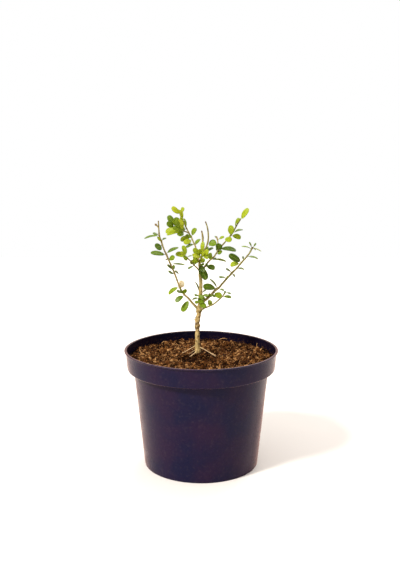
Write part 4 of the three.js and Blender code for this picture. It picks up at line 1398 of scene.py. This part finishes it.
def strewn(count, reach, luck):
    """Random places on the soil: x, y and the distance from the middle."""
    far = reach * np.sqrt(luck.uniform(0, 1, count))
    turn = luck.uniform(0, math.tau, count)
    return far * np.cos(turn), far * np.sin(turn), far


def clear_of_wood(points, room):
    """Which points stay that far from the bark of the trunk and the roots."""
    wood = np.vstack([axis for name, axis in AXES.items() if name == "trunk" or is_root(name)])
    gap = np.linalg.norm(points[:, None] - wood[None, :, :3], axis=2) - wood[None, :, 3]
    return gap.min(axis=1) > room


def crumbs(name, material, count, levels, sizes, shape, tilt, tints, sink, seed):
    """Loose bits on the soil, as LOOSE_BITS says."""
    luck = np.random.default_rng(seed)
    x, y, far = strewn(count, SOIL_REACH, luck)
    size = sizes[0] * (sizes[1] / sizes[0]) ** luck.power(0.7, len(x))
    height, tops = soil_rough(x, y)
    centre = np.stack([x, y, height - sink * size], axis=1)
    longest = size * max(shape)
    keep = clear_of_wood(centre, 0.4 + longest) & (far < SOIL_REACH + 0.4 - longest)
    centre, size, x, y, tops = centre[keep], size[keep], x[keep], y[keep], tops[keep]
    count = len(size)
    form, faces = ball(levels)
    stretch = np.array(shape) * luck.uniform(0.7, 1.3, (count, 3))
    bumps = 1 + 0.2 * luck.standard_normal((count, len(form))).clip(-1.6, 1.6)
    local = form[None] * stretch[:, None] * bumps[..., None] * size[:, None, None]
    turned = np.einsum("nij,nkj->nki", random_turns(count, luck, tilt), local)
    vertices = (centre[:, None] + turned).reshape(-1, 3)
    all_faces = (faces[None] + np.arange(count)[:, None, None] * len(form)).reshape(-1, faces.shape[1])
    bits = new_object(name, vertices, all_faces.tolist())
    finish_piece(bits, material, "potting_soil")
    # Painted shade: crumbs in the gaps and by the wall are darker, and each crumb is painted paler on top and
    # darker underneath, as if lit from above
    tint = soil_tint(x, y) * luck.uniform(*tints, count) * (0.2 + 1.3 * tops**1.5)
    upper = np.clip((turned[..., 2] / size[:, None] + 0.2) * 0.8, -0.25, 0.2)
    note(bits, "tint", np.clip(tint[:, None] + upper, 0, 1.2).ravel())


def strands(name, material, parts, tint):
    """Closed tubes joined into one piece. parts holds each one's vertices and faces."""
    faces = []
    start = 0
    for places, skin in parts:
        faces += [[v + start for v in face] for face in skin]
        start += len(places)
    piece = new_object(name, np.vstack([places for places, _ in parts]), faces)
    finish_piece(piece, material, "potting_soil")
    note(piece, "tint", tint)


def peat_fibres(material, count, lengths, radii, rise, steps, sides, seed):
    """Fine root and peat fibres strewn over the soil."""
    luck = np.random.default_rng(seed)
    x, y, far = strewn(count, FIBRE_REACH, luck)
    length = luck.uniform(*lengths, len(x))
    middle = np.stack([x, y, soil_rough(x, y)[0] + 0.15], axis=1)
    keep = clear_of_wood(middle, 0.5 * length) & (far + 0.55 * length < SOIL_REACH)
    middle, length = middle[keep], length[keep]
    count = len(length)
    heading = luck.uniform(0, math.tau, count)
    pitch = luck.normal(0, rise, count)
    level = np.cos(pitch)
    ahead = np.stack([np.cos(heading) * level, np.sin(heading) * level, np.sin(pitch)], axis=1)
    aside = np.stack([-np.sin(heading), np.cos(heading), np.zeros(count)], axis=1)
    up = np.cross(ahead, aside)
    t = np.linspace(-0.5, 0.5, steps)[None, :, None]
    bow = luck.normal(0, 0.6, (count, 1, 1)) * (t**2 - 0.1) + luck.normal(0, 0.9, (count, 1, 1)) * t**3
    arch = luck.normal(-0.2, 0.25, (count, 1, 1)) * (t**2 - 0.1)
    path = t * ahead[:, None] + bow * aside[:, None] + arch * up[:, None]
    path = middle[:, None] + length[:, None, None] * path
    radius = luck.uniform(*radii, (count, 1, 1, 1)) * (1 - 0.7 * np.abs(2 * t) ** 2.5)[..., None]
    angle = full_turn(sides)[None, None, :, None]
    rim = np.cos(angle) * aside[:, None, None] + np.sin(angle) * up[:, None, None]
    rings = path[:, :, None] + radius * rim
    skin = loft(rings[0])
    tint = np.repeat(1.3 * luck.uniform(0, 1, count) ** 1.6, steps * sides)
    strands("peat_fibres", material, [(ring.reshape(-1, 3), skin) for ring in rings], tint)


def stray_rootlets(material):
    """A few pale rootlets that stand up out of the soil."""
    parts = []
    for depth, *knots in STRAY_ROOTLETS:
        path = spline([[*seen(x, z, depth), radius] for x, z, radius in knots])
        foot = soil_rough(path[:1, 0], path[:1, 1])[0][0] - 0.4
        path[:, 2] += foot - path[0, 2]
        parts.append(tube(path[:, :3], path[:, 3], 8))
    count = sum(len(places) for places, _ in parts)
    strands("stray_rootlets", material, parts, np.full(count, 1.5))


# Studio


def studio_world():
    """A white ceiling and a bright wall behind the plant, dim elsewhere. The viewer sees plain white."""
    world = bpy.data.worlds.new("white studio")
    world.use_nodes = True
    world.node_tree.nodes.clear()
    nodes = Nodes(world.node_tree)
    _, back, up = nodes.parts(nodes.add("TexCoord", {}).outputs["Generated"])
    low = nodes.between(up, 0.6, 0.25)
    dim = nodes.times(low, nodes.between(back, 0.66, 0.4))
    walls = nodes.blend(low, (1.0, 1.0, 1.0, 1), (1.36, 0.96, 0.76, 1))
    walls = nodes.blend(dim, walls, (0.2, 0.17, 0.19, 1))
    viewed = nodes.add("LightPath", {}).outputs["Is Camera Ray"]
    walls = nodes.blend(viewed, walls, (1.0, 1.0, 1.0, 1))
    sky = nodes.add("Background", {"Color": walls, "Strength": nodes.between(viewed, 0, 1, 1.05, 1.0)})
    nodes.add("OutputWorld", {"Surface": sky.outputs[0]})
    bpy.context.scene.world = world


def sun(name, toward, strength, spread):
    """Light from that direction. spread is how many degrees wide it is, for soft shadows."""
    lamp = bpy.data.lights.new(name, "SUN")
    lamp.energy = strength
    lamp.angle = math.radians(spread)
    lamp.color = (1.0, 0.97, 0.92)
    placed(name, lamp).rotation_euler = Vector(toward).to_track_quat("Z", "Y").to_euler()


def pale_floor():
    half = 2000
    corners = [[-half, -half, 0], [half, -half, 0], [half, half, 0], [-half, half, 0]]
    floor = new_object("floor", corners, [[0, 1, 2, 3]])
    finish = Finish("pale floor")
    clouds = finish.mottle(finish.where, 3)
    pale = finish.blend(clouds, (0.86, 0.82, 0.77, 1), (0.88, 0.84, 0.79, 1))
    finish.set({"Base Color": pale, "Roughness": 0.9})
    floor.data.materials.append(finish.material)


def camera():
    lens = bpy.data.cameras.new("viewer")
    lens.lens = LENS
    holder = placed("viewer", lens)
    holder.location = VIEWER * MM
    holder.rotation_euler = (math.radians(90 - VIEW_DOWN), 0, 0)
    bpy.context.scene.camera = holder
    bpy.context.scene.view_settings.view_transform = "Standard"


camera()
studio_world()
sun("key light", (-0.6, -0.5, 0.7), 3.1, 10)
sun("back light", (0.3, 0.8, 0.75), 1.2, 40)
pale_floor()
make_pot()
leaves = all_leaves()
make_wood(leaves)
soil_finish = peat()
make_soil(soil_finish)
for name, bits in LOOSE_BITS.items():
    crumbs(name, soil_finish, **bits)
peat_fibres(soil_finish, **FIBRES)
stray_rootlets(soil_finish)
old_skin = leaf_skin("old boxwood leaf", (0.3, 0.44), 0.28)
young_skin = leaf_skin("young boxwood leaf", (0.34, 0.5), 0.46)
for number, (name, node, tone, pose) in enumerate(leaves):
    slot, skin = ("young_leaf", young_skin) if tone >= 0.5 else ("old_leaf", old_skin)
    make_leaf(name, node, tone, pose, skin, slot, random.Random(number))
withered = leaf_by_node("withered_leaf", "left_branch", WITHERED_LEAF)
dry_skin = dry_leaf_skin()
make_leaf("dry_blade", "withered_leaf", 0.0, withered, dry_skin, "withered_leaf", random.Random(7), 1.0)
